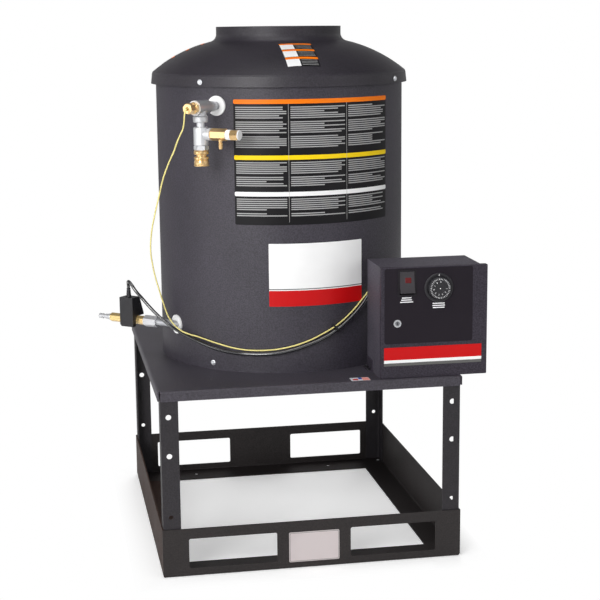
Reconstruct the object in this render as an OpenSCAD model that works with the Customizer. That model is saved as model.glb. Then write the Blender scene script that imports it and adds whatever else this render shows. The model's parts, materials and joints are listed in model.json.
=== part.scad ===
// Vertical coil water heater of a hot pressure washer, on a sheet-metal stand.
// Millimetres. X to the right, Y to the back, Z up.
// The origin is on the floor, at the centre of the stand.

/* [Stand] */
// Width over the side rails
base_w = 664; // [640:2:700]
// Depth over the end rails
base_d = 756; // [740:2:800]
// Height of the base rails
base_h = 108; // [95:1:130]
// Sheet thickness of the base rails
base_t = 3; // [2:0.5:4]
// Width of the bottom flange of the front and back rails
end_flange = 80; // [65:1:100]
// Width of the bottom flange of the side rails
side_flange = 60; // [40:1:80]
// Outer bend radius of the stand's sheet
bend_r = 5; // [4.5:0.5:8]
// Width of a fork opening
fork_w = 193; // [150:1:205]
// Height of a fork opening
fork_h = 67; // [50:1:75]
// Height of a fork opening's lower edge
fork_z = 18; // [12:1:20]
// Distance from the centre plane to a fork opening
fork_x = 82; // [70:1:90]
// Diameter of a floor bolt hole
floor_hole_d = 13; // [9:0.5:16]
// Spacing of the floor bolt holes, left to right
floor_hole_span = 356; // [300:2:440]
// Distance from an end rail's outer face to its floor bolt holes
floor_hole_inset = 39; // [30:1:45]
// Flange width of a leg
leg_w = 38.1; // [30:0.1:50]
// Thickness of a leg
leg_t = 3; // [2.5:0.5:5]
// Inner root radius of a leg
leg_root_r = 3; // [1:0.5:5]
// Distance from a leg's outer side to its holes
leg_hole_inset = 17; // [15:0.5:19]
// Diameter of the two upper holes of a leg
leg_hole_d = 12.3; // [8:0.1:14]
// Height of the middle hole of a leg
leg_mid_hole_z = 271; // [240:1:300]
// Height of the top hole of a leg
leg_top_hole_z = 357; // [330:1:370]
// Diameter of the low hole of a leg
leg_low_hole_d = 9.6; // [6:0.1:12]
// Height of the low hole of a leg
leg_low_hole_z = 135; // [132:1:150]

/* [Deck] */
// Height of the deck's top
deck_z = 415; // [400:1:440]
// Sheet thickness of the deck
deck_t = 3; // [2:0.5:4]
// Depth of the deck's folded edge
deck_skirt = 22; // [15:1:35]
// How far the deck stands out past the base on each side
deck_over = 2; // [1.5:0.5:4]
// Diameter of the round relief at each corner fold
corner_relief_d = 5; // [3:0.5:8]
// Radius of the air opening under the drum
air_hole_r = 205; // [150:5:240]

/* [Drum] */
// Outer radius of the drum shell
drum_r = 284.5; // [275:0.5:290]
// Sheet thickness of the drum shell and lid
drum_t = 1.5; // [1:0.5:2]
// How far the drum's axis lies behind the centre of the stand
drum_y = 10; // [5:1:20]
// Height of the lid skirt's lower edge above the outlet pipe's axis
skirt_rise = 40; // [30:1:60]
// Height of the lid's skirt, up to the crease
skirt_l = 22; // [18:1:28]
// How far the skirt's lower edge stands out past the drum
skirt_over = 11; // [9:0.5:14]
// How far the crease stands out past the drum
crease_over = 8.5; // [7:0.5:9.5]
// Radius of the dome's arc
dome_arc_r = 335; // [320:5:380]
// Slope of the dome at its edge
dome_slope = 39.3; // [37:0.1:40]
// Outer radius of the flue collar
collar_r = 143.6; // [130:0.2:150]
// Height of the flue collar's top above the crease
collar_h = 104; // [100:1:120]
// Radius of the fillet between dome and collar
collar_fillet = 18; // [10:1:24]
// Height of the foot ring inside the drum
foot_ring_h = 24; // [15:1:26]
// Width of the foot ring's flange
foot_ring_w = 20; // [10:1:30]

/* [Heater] */
// Distance from the drum's outer face to the coil's centre line
coil_wall = 30.5; // [28:0.5:36]
// Outer diameter of the coil's pipe
coil_pipe_d = 21.3; // [17:0.1:22]
// Full turns of the helix
coil_turns = 15; // [10:1:16]
// Climb from the flat spiral on top to the outlet pipe's axis
outlet_climb = 35; // [30:1:45]
// Turns of the flat spiral on top
spiral_turns = 2; // [1:1:3]
// Step of the flat spiral in one turn
spiral_step = 33; // [32:0.5:34]
// Radius of the bend that turns the coil outward
lead_bend_r = 45; // [40:1:60]
// Outer diameter of the couplings on the coil's ends
coil_coupling_d = 28; // [26:0.5:30]
// Length of the couplings on the coil's ends
coil_coupling_l = 34; // [32:1:36]
// Height of the insulation's lower edge above the deck
lining_h = 29; // [26:1:31]
// Radial gap between coil and insulation
lining_gap = 2; // [1:0.5:3]
// Radius of the burner ring's centre line
burner_r = 120; // [90:5:150]
// Diameter of the burner ring's tube
burner_d = 20; // [16:1:24]
// Height of the burner ring's centre line above the deck
burner_h = 43; // [41:1:49]
// Number of jets on the burner ring
burner_jets = 12; // [6:1:16]
// Distance from the centre to a burner bar
burner_bar_y = 85; // [70:5:105]
// Length that the gas pipe stands out behind the drum
gas_out = 55; // [30:5:60]

/* [Outlet] */
// Angle of the outlet around the drum, from the front, negative to the left
outlet_angle = -38; // [-45:1:-30]
// Height of the outlet pipe above the deck
outlet_h = 587; // [575:1:590]
// Outer diameter of the pipe nipples
pipe_d = 17.1; // [16:0.1:18]
// Bore of the pipe nipples
pipe_bore = 11; // [8:0.5:12]
// Outer diameter of a pipe grommet
grommet_d = 43; // [38:1:48]
// Thickness of a pipe grommet's flange
grommet_t = 3.5; // [2:0.5:5]
// Distance from the wall to the outlet tee
tee_start = 14; // [10:1:20]
// Length of the outlet tee
tee_l = 78; // [74:1:90]
// Distance from the wall to the tees' common axis
branch_l = 68; // [64:1:72]
// Radius of the outlet tee's body
tee_r = 14.5; // [13:0.5:16]
// Distance from the outlet pipe's axis down to the lower face of the outlet tee
tee_drop = 31; // [28:1:34]
// Length of bare nipple between the two tees
nipple_gap = 10; // [6:1:14]
// Height of the relief tee
relief_tee_h = 39; // [36:1:44]
// Radius of the relief tee's body
relief_tee_r = 15.7; // [14:0.1:17]
// Length of the hexagon of the relief valve
relief_hex_l = 37; // [30:1:45]
// Distance over the corners of the relief valve's hexagon
relief_hex_d = 26; // [24:0.5:29]
// Length of the quick coupler's sleeve
sleeve_l = 20; // [17:1:24]
// Outer radius of the quick coupler's sleeve
sleeve_r = 16.4; // [15.5:0.1:18]
// Travel of the quick coupler's sleeve
sleeve_travel = 4; // [3:0.5:5]
// Bore radius of the quick coupler
coupler_bore_r = 8.4; // [7:0.1:8.6]
// Number of balls in the quick coupler
coupler_ball_count = 8; // [6:1:8]

/* [Inlet] */
// Direction of the inlet pipe seen from above, from +X towards +Y
inlet_angle = 140; // [135:1:145]
// Height of the inlet pipe above the deck
inlet_h = 87; // [84:1:92]
// Distance from the wall to the hexagonal coupling
inlet_coupling_start = 54; // [48:1:60]
// Length of the hexagonal coupling
inlet_coupling_l = 35; // [30:1:40]
// Distance over the corners of the hexagonal coupling
inlet_coupling_d = 27; // [25:0.5:29]
// Distance over the corners of the flow switch body's hexagons
flow_hex_d = 21; // [20:0.5:22]
// Length of the hexagon on the heater's side of the flow switch
flow_hex_in = 20; // [15:1:25]
// Length of the hexagon on the plug's side of the flow switch
flow_hex_out = 40; // [34:1:45]
// Length of the flow switch housing along the pipe
housing_l = 36; // [30:1:42]
// Height of the flow switch housing above the pipe's axis
housing_top = 54; // [50:1:60]
// Distance from the pipe's axis to the housing's front face
housing_front = 22; // [19:0.5:25]
// Travel of the flow switch's piston
piston_travel = 8; // [4:1:12]
// Length of the strain relief
strain_relief_l = 20; // [16:1:30]
// Length of the quick plug
plug_l = 35; // [32:1:42]
// Radius of the quick plug's nose
plug_r = 5.9; // [5.4:0.1:6.4]

/* [Control box] */
// Distance from the centre of the stand to the box's left side
box_x = 151; // [145:1:160]
// Width of the box
box_w = 224; // [210:1:240]
// Distance from the front of the stand back to the door's front
box_inset = 6; // [2:1:10]
// Gap between the drum and the box's back, at the box's left side
box_gap = 13.9; // [13:0.1:20]
// Height of the box
box_h = 244; // [225:1:270]
// Sheet thickness of the box
box_t = 1.5; // [1:0.1:2]
// Width of the box's inner frame behind the door
box_lip = 12; // [8:1:14]
// Depth of the door's edges
door_depth = 12; // [10:1:15]
// How far the door stands out past the box's right side
door_over = 14; // [13:0.5:18]
// Gap between the door's edges and the box
door_gap = 0.6; // [0.4:0.1:1]
// Gap between the door's lower edge and the deck
door_lift = 1; // [0.5:0.5:3]
// Outer radius of a hinge knuckle
knuckle_r = 4; // [3:0.5:4.5]
// Radius of a hinge pin
hinge_pin_r = 2; // [1.5:0.1:2.5]
// Length of a hinge
hinge_l = 48; // [36:2:60]

/* [Controls] */
// Distance from the box's left side to the rocker switch
rocker_x = 58; // [50:1:70]
// Distance from the box's top down to the rocker switch
rocker_drop = 34.4; // [33:0.2:50]
// Width of the rocker
rocker_w = 32; // [26:0.5:34]
// Height of the rocker
rocker_h = 48; // [40:0.5:52]
// Tilt of the rocker to each side
rocker_tilt = 10; // [4:1:10]
// Distance from the box's left side to the thermostat dial
dial_x = 128.5; // [120:0.5:140]
// Distance from the box's top down to the thermostat dial
dial_drop = 47.2; // [40:0.2:60]
// Outer radius of the dial's bezel
bezel_r = 32; // [29:0.5:35]
// Radius of the dial
dial_r = 25; // [20:0.5:26]
// Height of the dial in front of the door
dial_h = 13; // [8:0.5:16]
// Distance from the box's left side to the cam lock
lock_x = 36.2; // [30:0.2:40]
// Distance from the box's top down to the cam lock
lock_drop = 122.2; // [100:0.2:140]
// Radius of the cam lock's head
lock_r = 8.5; // [7:0.5:10]
// Length of the lock's cam
cam_l = 31; // [28:1:33]

/* [Cords] */
// Diameter of the flow switch cable
cable_d = 7.5; // [6:0.5:8]
// Diameter of the thermostat capillary
capillary_d = 3.2; // [2:0.2:3.6]

/* [Hidden] */
$fn = 96;

// Clearances that mating pieces share
run_clear = 0.08;   // shaft in a hole
soft_clear = 0.3;   // grommets and loose covers
seat_gap = 0.1;     // a piece on its seat
cut = 1;            // how far a cutting body runs past a face

// Stand
wall_x = base_w/2 - base_t;
wall_y = base_d/2 - base_t;
deck_x = base_w/2 + deck_over;
deck_y = base_d/2 + deck_over;
leg_z = bend_r;
leg_h = deck_z - deck_t - leg_z;
fork_corner_r = 4;
drum_axis = [0, drum_y, 0];
drill = 80;                      // length of a bore that runs right through the drum's wall

// Drum and lid. The dome is one arc from just above the crease to the collar's fillet.
inlet_z = deck_z + inlet_h;
outlet_z = deck_z + outlet_h;
skirt_z = outlet_z + skirt_rise;
crease_z = skirt_z + skirt_l;
skirt_r = drum_r + skirt_over;
crease_r = drum_r + crease_over;
collar_z = crease_z + collar_h;
dome_edge = [crease_r - 1.5, crease_z + 4];
dome_c = dome_edge - dome_arc_r*[sin(dome_slope), cos(dome_slope)];
function dome_height(r, arc_r) = dome_c[1] + sqrt(arc_r*arc_r - (r - dome_c[0])*(r - dome_c[0]));
fillet_x = collar_r + collar_fillet;
fillet_c = [fillet_x, dome_height(fillet_x, dome_arc_r + collar_fillet)];
shell_h = dome_height(drum_r, dome_arc_r - drum_t) - seat_gap - deck_z;

// Coil
coil_r = drum_r - coil_wall;
burner_z = deck_z + burner_h;
lining_z = deck_z + lining_h;
wall_l = sqrt(drum_r*drum_r - coil_r*coil_r);   // tangent point to the wall, along the inlet
coil_pipe_r = coil_pipe_d/2;
lining_in = coil_r + coil_pipe_r + lining_gap;
lining_out = drum_r - drum_t - soft_clear;
lining_top = skirt_z - 12;
spiral_in = coil_r - spiral_turns*spiral_step;
coil_top_z = outlet_z - outlet_climb;
coil_pitch = (coil_top_z - inlet_z)/coil_turns;
rise_share = 0.6;                // the coil climbs to the outlet in this share of its last turn
bend_reach = spiral_in + lead_bend_r;
bend_off = asin(lead_bend_r/bend_reach);
outlet_polar = 270 + outlet_angle;
inlet_polar = inlet_angle + 90;
wall_polar = inlet_polar - atan2(wall_l, coil_r);
rings_per_turn = 24;
coil_sides = 6;
coupling_overlap = 14;           // coil pipe inside its coupling
coupling_web = 2;                // shoulder between the two pipes in a coupling
inlet_reach = 36;
inlet_lead = coil_pipe_d + inlet_reach;   // straight pipe at the coil's inlet
outlet_lead = bend_reach*cos(bend_off) + coil_pipe_d + 1;
coil_coupling_in = inlet_lead - wall_l - coupling_overlap;
coil_coupling_out = outlet_lead - coupling_overlap;

// Outlet stack. Along X from the drum's axis, heights from the outlet pipe's axis.
pipe_r = pipe_d/2;
grommet_waist_r = pipe_r + 2.2;
port_r = 7.5;                    // water way of the tees
socket_l = 12;                   // pipe thread in a large socket
short_socket_l = 9;              // pipe thread in a small socket
thread_l = 14;                   // open thread at a pipe's end
thread_depth = 0.4;
axis_x = drum_r + branch_l;
tee_x = drum_r + tee_start;
tee_end = tee_x + tee_l;
bulb_r = 4.5;
bulb_l = 66;
bushing_d = 26.4;                // over the corners
bushing_l = 9;
bushing_shank_r = 9.5;
gland_d = 23.8;                  // over the corners
gland_l = 20;
gland_hole_r = 4;
bulb_end = tee_end + bushing_l + 3;
relief_top = -tee_drop - nipple_gap;
relief_axis = relief_top - 15;
relief_bottom = relief_top - relief_tee_h;
relief_branch_l = 27;            // from the tees' axis to the relief valve
relief_branch_r = 13.4;
relief_shank_r = 8;
relief_stem_r = 6;
relief_ring_l = 10.5;
relief_cap_l = 18.5;
relief_ring_y = relief_branch_l + relief_hex_l;
relief_cap_y = relief_ring_y + relief_ring_l;
adapter_h = 10;
adapter_d = 32;                  // over the corners
adapter_shank_r = 9.8;
adapter_bore_r = 5;
adapter_bottom = relief_bottom - adapter_h;
coupler_collar_h = 9;
coupler_tube_r = 11;
coupler_lip_r = 12.3;
coupler_lip_h = 1.8;
coupler_shank_r = 8.9;
sleeve_top = adapter_bottom - coupler_collar_h - sleeve_travel - 1;
sleeve_bottom = sleeve_top - sleeve_l;
coupler_end = sleeve_bottom - soft_clear;
ball_r = 1.2;
ball_z = sleeve_top - 9;
ball_ring_r = coupler_bore_r + 0.15 + ball_r;

// Inlet stack, along X from the drum's wall
flow_start = inlet_coupling_start + inlet_coupling_l;
housing_start = flow_start + flow_hex_in;
flow_hex_x = housing_start + housing_l;
flow_end = flow_hex_x + flow_hex_out;
flow_shank_r = 8;
flow_bore_r = 7;
flow_barrel_r = 9.5;
saddle_r = flow_barrel_r + soft_clear;
chamber_end = flow_end - 15;
piston_l = 30;
spring_room = 33;                // chamber left beyond the piston's travel
chamber_start = chamber_end - piston_l - piston_travel - spring_room;
strain_relief_r = 6;
strain_relief_at = [housing_start + 20, 7];   // along the pipe, and towards the front
plug_shank_r = 6;

// Control box
box_front = base_d/2 - box_inset;
box_back = sqrt(drum_r*drum_r - box_x*box_x) - drum_y + box_gap;
box_right = box_x + box_w;
box_top = deck_z + box_h;
door_right = box_right + door_over;
box_edge = box_front - door_depth - door_gap;
door_back = box_front - door_depth;
door_inside = box_front - box_t;
hinge_x = box_right + door_over/2;
hinge_y = 2 - door_back;
hinge_margin = 34;               // from the box's lower and upper edge to a hinge
hinge_bottoms = [deck_z + hinge_margin, box_top - hinge_margin - hinge_l];
hinge_leaf_w = 22;
knuckle_gap = 0.3;
knuckle_l = (hinge_l - 2*knuckle_gap)/3;
rocker_depth = 6;                // from the door's front back to the rocker's pivot
rocker_centre = [box_x + rocker_x, rocker_depth - box_front, box_top - rocker_drop];
rocker_pin_r = 1.5;
rocker_side_gap = 0.3;
rocker_end_gap = 1.5;
frame_wall = 1.5;
frame_rim = 2.5;
rocker_hole = [rocker_w + 2*rocker_side_gap + 2*frame_wall, rocker_h + 2*rocker_end_gap + 2*frame_wall];
dial_centre = [box_x + dial_x, -box_front, box_top - dial_drop];
dial_shaft_r = 3;
thermostat_size = [46, 40, 50];
lock_centre = [box_x + lock_x, -box_front, box_top - lock_drop];
lock_barrel_r = 8;
lock_plug_r = 5;
lock_nut_d = 24;                 // over the corners
lock_nut_t = 4;
cam_clear = 1.6;                 // between the cam and the box's inner frame
cam_y = box_t - box_edge + cam_clear;
cam_t = 2.5;
bracket_l = 50;
bracket_w = 14;
bracket_h = 25;
bracket_t = 2;
cable_hole = [196, -box_back, 600];
capillary_hole = [189, -box_back, 619];

// Route of the flow switch cable, from the strain relief to the box's back wall
cable_route = [
    [-365, -25, 576], [-365, -25, 583], [-366, -30, 590], [-365, -40, 594], [-360, -50, 589],
    [-351, -59, 575], [-337, -65, 558], [-322, -74, 540], [-303, -88, 520], [-281, -106, 502],
    [-261, -131, 491], [-241, -157, 483], [-222, -182, 476], [-200, -206, 469], [-177, -224, 463],
    [-154, -239, 460], [-132, -252, 459], [-101, -265, 459], [-70, -275, 461], [-42, -280, 465],
    [9, -283, 479], [41, -281, 491], [72, -274, 506], [108, -262, 530], [139, -248, 558],
    [151, -239, 571], [164, -232, 584], [176, -227, 593], [188, -229, 599], [195, -237, 600],
    [196, -245, 600], [196, -250, 600]
];
// Route of the thermostat capillary, from the bulb to the box's back wall
capillary_route = [
    [-239, -296, 1002], [-250, -310, 1002], [-254, -315, 999], [-256, -316, 990], [-257, -313, 976],
    [-259, -306, 961], [-265, -298, 946], [-271, -290, 930], [-276, -280, 913], [-283, -269, 895],
    [-290, -258, 876], [-298, -245, 850], [-306, -230, 813], [-315, -215, 771], [-322, -200, 730],
    [-324, -185, 686], [-320, -174, 655], [-314, -165, 625], [-305, -155, 592], [-296, -145, 561],
    [-280, -136, 519], [-260, -144, 497], [-243, -158, 490], [-224, -173, 486], [-186, -210, 477],
    [-139, -242, 468], [-91, -263, 467], [-41, -275, 473], [10, -278, 487], [41, -275, 500],
    [72, -269, 515], [110, -256, 541], [142, -240, 570], [152, -235, 580], [163, -229, 593],
    [174, -225, 605], [184, -228, 614], [188, -235, 618], [189, -245, 619], [189, -250, 619]
];

function unit(v) = v/norm(v);
function last(list) = list[len(list) - 1];

// Points of an arc in a plane: centre, radius, first and last angle, number of steps
function arc(c, r, a0, a1, n) = [for (i = [0:n]) c + r*[cos(a0 + (a1 - a0)*i/n), sin(a0 + (a1 - a0)*i/n)]];

// Directions along a route, and a frame at each of its points that doesn't twist
function tangent(p, i) = unit(p[min(i + 1, len(p) - 1)] - p[max(i - 1, 0)]);
function across(v, t) = unit(v - (v*t)*t);
function side_vectors(p, start) = [
    for (i = 0, v = across(start, tangent(p, 0)); i < len(p);
         i = i + 1, v = i < len(p) ? across(v, tangent(p, i)) : v) v
];

// A round tube along a list of points
module swept_tube(p, r, sides, start = [1, 0, 0]) {
    side = side_vectors(p, start);
    rings = [
        for (i = [0:len(p) - 1], k = [0:sides - 1])
            let (t = tangent(p, i), a = 360*k/sides)
                p[i] + r*(cos(a)*side[i] + sin(a)*cross(t, side[i]))
    ];
    walls = [
        for (i = [0:len(p) - 2], k = [0:sides - 1])
            let (a = i*sides + k, b = i*sides + (k + 1)%sides)
                each [[a, a + sides, b + sides], [a, b + sides, b]]
    ];
    first_cap = [for (k = [1:sides - 2]) [0, k, k + 1]];
    base = (len(p) - 1)*sides;
    last_cap = [for (k = [1:sides - 2]) [base, base + k + 1, base + k]];
    polyhedron(rings, concat(walls, first_cap, last_cap));
}

// A cylinder along X that starts at x
module rod_x(x, l, r) {
    translate([x, 0, 0]) rotate([0, 90, 0]) cylinder(h = l, r = r);
}

// A cylinder along Y that starts at y
module rod_y(y, l, r) {
    translate([0, y, 0]) rotate([-90, 0, 0]) cylinder(h = l, r = r);
}

// A hexagonal bar along Z with turned corners, `d` over its corners
module hex_bar(h, d) {
    chamfer = d*0.08;
    intersection() {
        cylinder(h = h, r = d/2, $fn = 6);
        rotate_extrude()
            polygon([[0, 0], [d/2 - chamfer, 0], [d/2, chamfer*0.6], [d/2, h - chamfer*0.6],
                     [d/2 - chamfer, h], [0, h]]);
    }
}

// A ring around Z between two radii
module ring(h, r_out, r_in) {
    difference() {
        cylinder(h = h, r = r_out);
        translate([0, 0, -cut]) cylinder(h = h + 2*cut, r = r_in);
    }
}

// An L-shaped section bent from sheet, with its outer corner at the origin
module bent_section(flange, wall, t, r) {
    translate([r, 0]) square([flange - r, t]);
    translate([0, r]) square([t, wall - r]);
    intersection() {
        square(r);
        translate([r, r]) difference() {
            circle(r);
            circle(r - t);
        }
    }
}

// A rectangle with round corners, centred
module rounded_rect(w, h, r) {
    square([w - 2*r, h], center = true);
    square([w, h - 2*r], center = true);
    for (x = [-1, 1], y = [-1, 1]) translate([x*(w/2 - r), y*(h/2 - r)]) circle(r);
}

// Places its children in the outlet's frame: X away from the drum, Y along the relief valve
module at_outlet() {
    translate(drum_axis + [0, 0, outlet_z]) rotate([0, 0, outlet_polar]) children();
}

// Places its children in the inlet's frame: X along the pipe from the wall, Y towards the front
module at_inlet() {
    translate(drum_axis + [0, 0, inlet_z]) rotate([0, 0, inlet_angle])
        translate([wall_l, coil_r, 0]) children();
}

// ---- Stand ----

// A front or back rail, with its outer face towards -Y
module end_rail() {
    flange_half = base_w/2 - bend_r - 0.1;
    difference() {
        union() {
            translate([-base_w/2, 0, bend_r]) cube([base_w, base_t, base_h - bend_r]);
            translate([-flange_half, 0, 0]) rotate([90, 0, 90])
                linear_extrude(2*flange_half) bent_section(end_flange, base_h, base_t, bend_r);
        }
        for (s = [-1, 1]) {
            translate([s*(fork_x + fork_w/2), -cut, fork_z + fork_h/2]) rotate([-90, 0, 0])
                linear_extrude(base_t + 2*cut) rounded_rect(fork_w, fork_h, fork_corner_r);
            translate([s*floor_hole_span/2, floor_hole_inset, -cut])
                cylinder(h = base_t + 2*cut, d = floor_hole_d);
        }
    }
}

// A side rail, with its outer face towards -X, between the end rails
module side_rail() {
    flange_half = base_d/2 - end_flange - 0.1;
    translate([0, -wall_y, 0]) difference() {
        translate([0, 2*wall_y, 0]) rotate([90, 0, 0])
            linear_extrude(2*wall_y) bent_section(side_flange, base_h, base_t, bend_r);
        for (y = [-cut, wall_y + flange_half])
            translate([bend_r, y, -cut]) cube([side_flange, wall_y - flange_half + cut, base_t + 2*cut]);
    }
}

module base_front_rail() {
    color("#2d2a2b") translate([0, -base_d/2, 0]) end_rail();
}

module base_back_rail() {
    color("#2d2a2b") translate([0, base_d/2, 0]) rotate([0, 0, 180]) end_rail();
}

module base_left_rail() {
    color("#2d2a2b") translate([-base_w/2, 0, 0]) side_rail();
}

module base_right_rail() {
    color("#2d2a2b") translate([base_w/2, 0, 0]) rotate([0, 0, 180]) side_rail();
}

// A leg at the corner given by the signs of X and Y
module leg(sx, sy) {
    color("#3c3b40") translate([sx*wall_x, sy*wall_y, leg_z]) mirror([sx > 0 ? 1 : 0, 0, 0])
        mirror([0, sy > 0 ? 1 : 0, 0]) difference() {
            linear_extrude(leg_h) {
                square([leg_w, leg_t]);
                square([leg_t, leg_w]);
                translate([leg_t, leg_t]) difference() {
                    square(leg_root_r);
                    translate([leg_root_r, leg_root_r]) circle(leg_root_r);
                }
            }
            for (hole = [[leg_low_hole_z, leg_low_hole_d], [leg_mid_hole_z, leg_hole_d],
                         [leg_top_hole_z, leg_hole_d]])
                translate([leg_hole_inset, 0, hole[0] - leg_z]) rod_y(-cut, leg_t + 2*cut, hole[1]/2);
        }
}

// One folded edge of the deck along X, its outer face at y = 0 and its top at z = 0
module deck_edge(half) {
    translate([-half, 0, 0]) rotate([90, 0, 90]) linear_extrude(2*half) mirror([0, 1])
        bent_section(bend_r + cut, deck_skirt, deck_t, bend_r);
}

module deck() {
    flat = [deck_x - bend_r, deck_y - bend_r];
    color("#3c3b40") translate([0, 0, deck_z]) difference() {
        union() {
            translate([-flat[0], -flat[1], -deck_t]) cube([2*flat[0], 2*flat[1], deck_t]);
            for (a = [0, 180]) rotate([0, 0, a]) {
                translate([0, -deck_y, 0]) deck_edge(flat[0] - 1);
                rotate([0, 0, 90]) translate([0, -deck_x, 0]) deck_edge(flat[1] - 1);
            }
        }
        for (sx = [-1, 1], sy = [-1, 1])
            translate([sx*flat[0], sy*flat[1], -deck_t - cut])
                cylinder(h = deck_t + 2*cut, d = corner_relief_d);
        translate([0, drum_y, -deck_t - cut]) cylinder(h = deck_t + 2*cut, r = air_hole_r);
    }
}

// ---- Drum ----

module drum_shell() {
    color("#444248") difference() {
        translate(drum_axis + [0, 0, deck_z]) difference() {
            cylinder(h = shell_h, r = drum_r, $fn = 180);
            translate([0, 0, -cut]) cylinder(h = shell_h + 2*cut, r = drum_r - drum_t, $fn = 180);
        }
        at_outlet() rod_x(drum_r - drill/2, drill, grommet_waist_r + soft_clear);
        at_inlet() rod_x(-drill/2, drill, pipe_r + soft_clear);
        translate([0, drum_y, burner_z]) rod_y(drum_r - drill/2, drill, pipe_r + soft_clear);
    }
}

// The lid's outer line from the skirt's lower edge to the collar's top, pushed in by `inset`
function lid_line(inset) =
    let (join_a = atan2(fillet_c[1] - dome_c[1], fillet_c[0] - dome_c[0]))
    concat(
        [[skirt_r - inset, skirt_z]],
        [[crease_r - inset, crease_z - inset*0.5]],
        arc(dome_c, dome_arc_r - inset, 90 - dome_slope, join_a, 20),
        arc(fillet_c, collar_fillet + inset, join_a + 180, 180, 12),
        [[collar_r - inset, collar_z]]
    );

module drum_lid() {
    outer = lid_line(0);
    inner = lid_line(drum_t);
    color("#444248") translate(drum_axis) rotate_extrude($fn = 180)
        polygon(concat(outer, [for (i = [len(inner) - 1:-1:0]) inner[i]]));
}

module drum_foot_ring() {
    out = drum_r - drum_t - 0.05;
    color("#55545a") translate(drum_axis + [0, 0, deck_z]) {
        ring(drum_t, out, out - foot_ring_w);
        ring(foot_ring_h, out, out - drum_t);
    }
}

module insulation() {
    color("#d8d2c4") difference() {
        translate(drum_axis + [0, 0, lining_z]) ring(lining_top - lining_z, lining_out, lining_in);
        at_outlet() rod_x(spiral_in, drum_r - spiral_in, coil_coupling_d/2 + soft_clear);
        at_inlet() rod_x(-wall_l, wall_l + drill/2, coil_coupling_d/2 + soft_clear);
        translate([0, drum_y, burner_z]) rod_y(drum_r - drill/2, drill, pipe_r + soft_clear);
    }
}

// ---- Heating coil ----

// The coil's centre line: inlet lead, helix, flat spiral, rise, bend and outlet lead
function polar(r, a, z) = [r*cos(a), r*sin(a), z];
function ease(t) = t*t*(3 - 2*t);
function lead_in_point(x) = polar(coil_r, inlet_polar, inlet_z) + polar(x, inlet_angle, 0);
function climb(t) = coil_top_z + (outlet_z - coil_top_z)*ease(min(1, t/rise_share));
coil_lead_in = [for (x = [inlet_lead, inlet_lead - coil_pipe_d, inlet_lead/4]) lead_in_point(x)];
coil_helix = [for (i = [0:coil_turns*rings_per_turn])
    polar(coil_r, inlet_polar + 360*i/rings_per_turn, inlet_z + coil_pitch*i/rings_per_turn)];
coil_spiral = [for (i = [1:spiral_turns*rings_per_turn])
    polar(coil_r - spiral_step*i/rings_per_turn, inlet_polar + 360*i/rings_per_turn, coil_top_z)];
// The last turn ends where the outward bend begins.
leave_polar = outlet_polar - bend_off;
leave_sweep = (leave_polar - inlet_polar + 720)%360;
rise_rings = round(leave_sweep*rings_per_turn/360);
coil_rise = [for (i = [1:rise_rings])
    polar(spiral_in, inlet_polar + leave_sweep*i/rise_rings, climb(i/rise_rings))];
bend_rings = 6;
coil_bend = [for (i = [1:bend_rings])
    polar(bend_reach, leave_polar, outlet_z)
    + polar(lead_bend_r, leave_polar + 180 - (90 - bend_off)*i/bend_rings, 0)];
coil_lead_out = [for (r = [outlet_lead - coil_pipe_r, outlet_lead]) polar(r, outlet_polar, outlet_z)];
coil_path = concat(coil_lead_in, coil_helix, coil_spiral, coil_rise, coil_bend, coil_lead_out);

// Least distance between stretches of a route that are at least `apart` points from each other
function least_distance(p, apart) =
    min([for (i = [0:len(p) - 1 - apart], j = [i + apart:len(p) - 1]) norm(p[i] - p[j])]);

module heating_coil() {
    echo(least_gap_of_the_coil = least_distance(coil_path, 12) - coil_pipe_d);
    color("#8c8a86") translate(drum_axis) swept_tube(coil_path, coil_pipe_r, coil_sides, [0, 0, 1]);
}

// A coupling from the coil's pipe, at x = 0, to a pipe nipple
module coil_coupling() {
    difference() {
        rod_x(0, coil_coupling_l, coil_coupling_d/2);
        rod_x(-cut, coupling_overlap + cut, coil_pipe_r + run_clear);
        rod_x(-cut, coil_coupling_l + 2*cut, pipe_bore/2);
        rod_x(coupling_overlap + coupling_web, coil_coupling_l, pipe_r + run_clear);
    }
}

module coil_couplings() {
    color("#9a9892") {
        at_outlet() translate([coil_coupling_out, 0, 0]) coil_coupling();
        at_inlet() translate([coil_coupling_in, 0, 0]) coil_coupling();
    }
}

// ---- Burner ----

module burner_ring() {
    socket_r = pipe_r + 3;
    socket_end = burner_r + burner_d/2 + socket_l;
    color("#4a4846") translate([0, drum_y, burner_z]) difference() {
        union() {
            rotate_extrude() translate([burner_r, 0]) circle(d = burner_d);
            rod_y(burner_r, socket_end - burner_r, socket_r);
            for (i = [0:burner_jets - 1]) rotate([0, 0, 360*(i + 0.5)/burner_jets])
                translate([burner_r, 0, 0]) cylinder(h = burner_d/2 + 7, r = 3);
        }
        rod_y(socket_end - socket_l, socket_l + cut, pipe_r + run_clear);
    }
}

module burner_bars() {
    bar_w = 24;
    bar_t = 4;
    bar_half = sqrt(air_hole_r*air_hole_r - burner_bar_y*burner_bar_y) + bar_w;
    post_x = sqrt(max(burner_r*burner_r - burner_bar_y*burner_bar_y, 1));
    color("#4a4846") translate([0, drum_y, deck_z]) for (sy = [-1, 1]) translate([0, sy*burner_bar_y, 0]) {
        translate([-bar_half, -bar_w/2, 0]) cube([2*bar_half, bar_w, bar_t]);
        for (sx = [-1, 1]) translate([sx*post_x, 0, 0])
            cylinder(h = burner_z - deck_z - burner_d/2, r = 6);
    }
}

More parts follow.
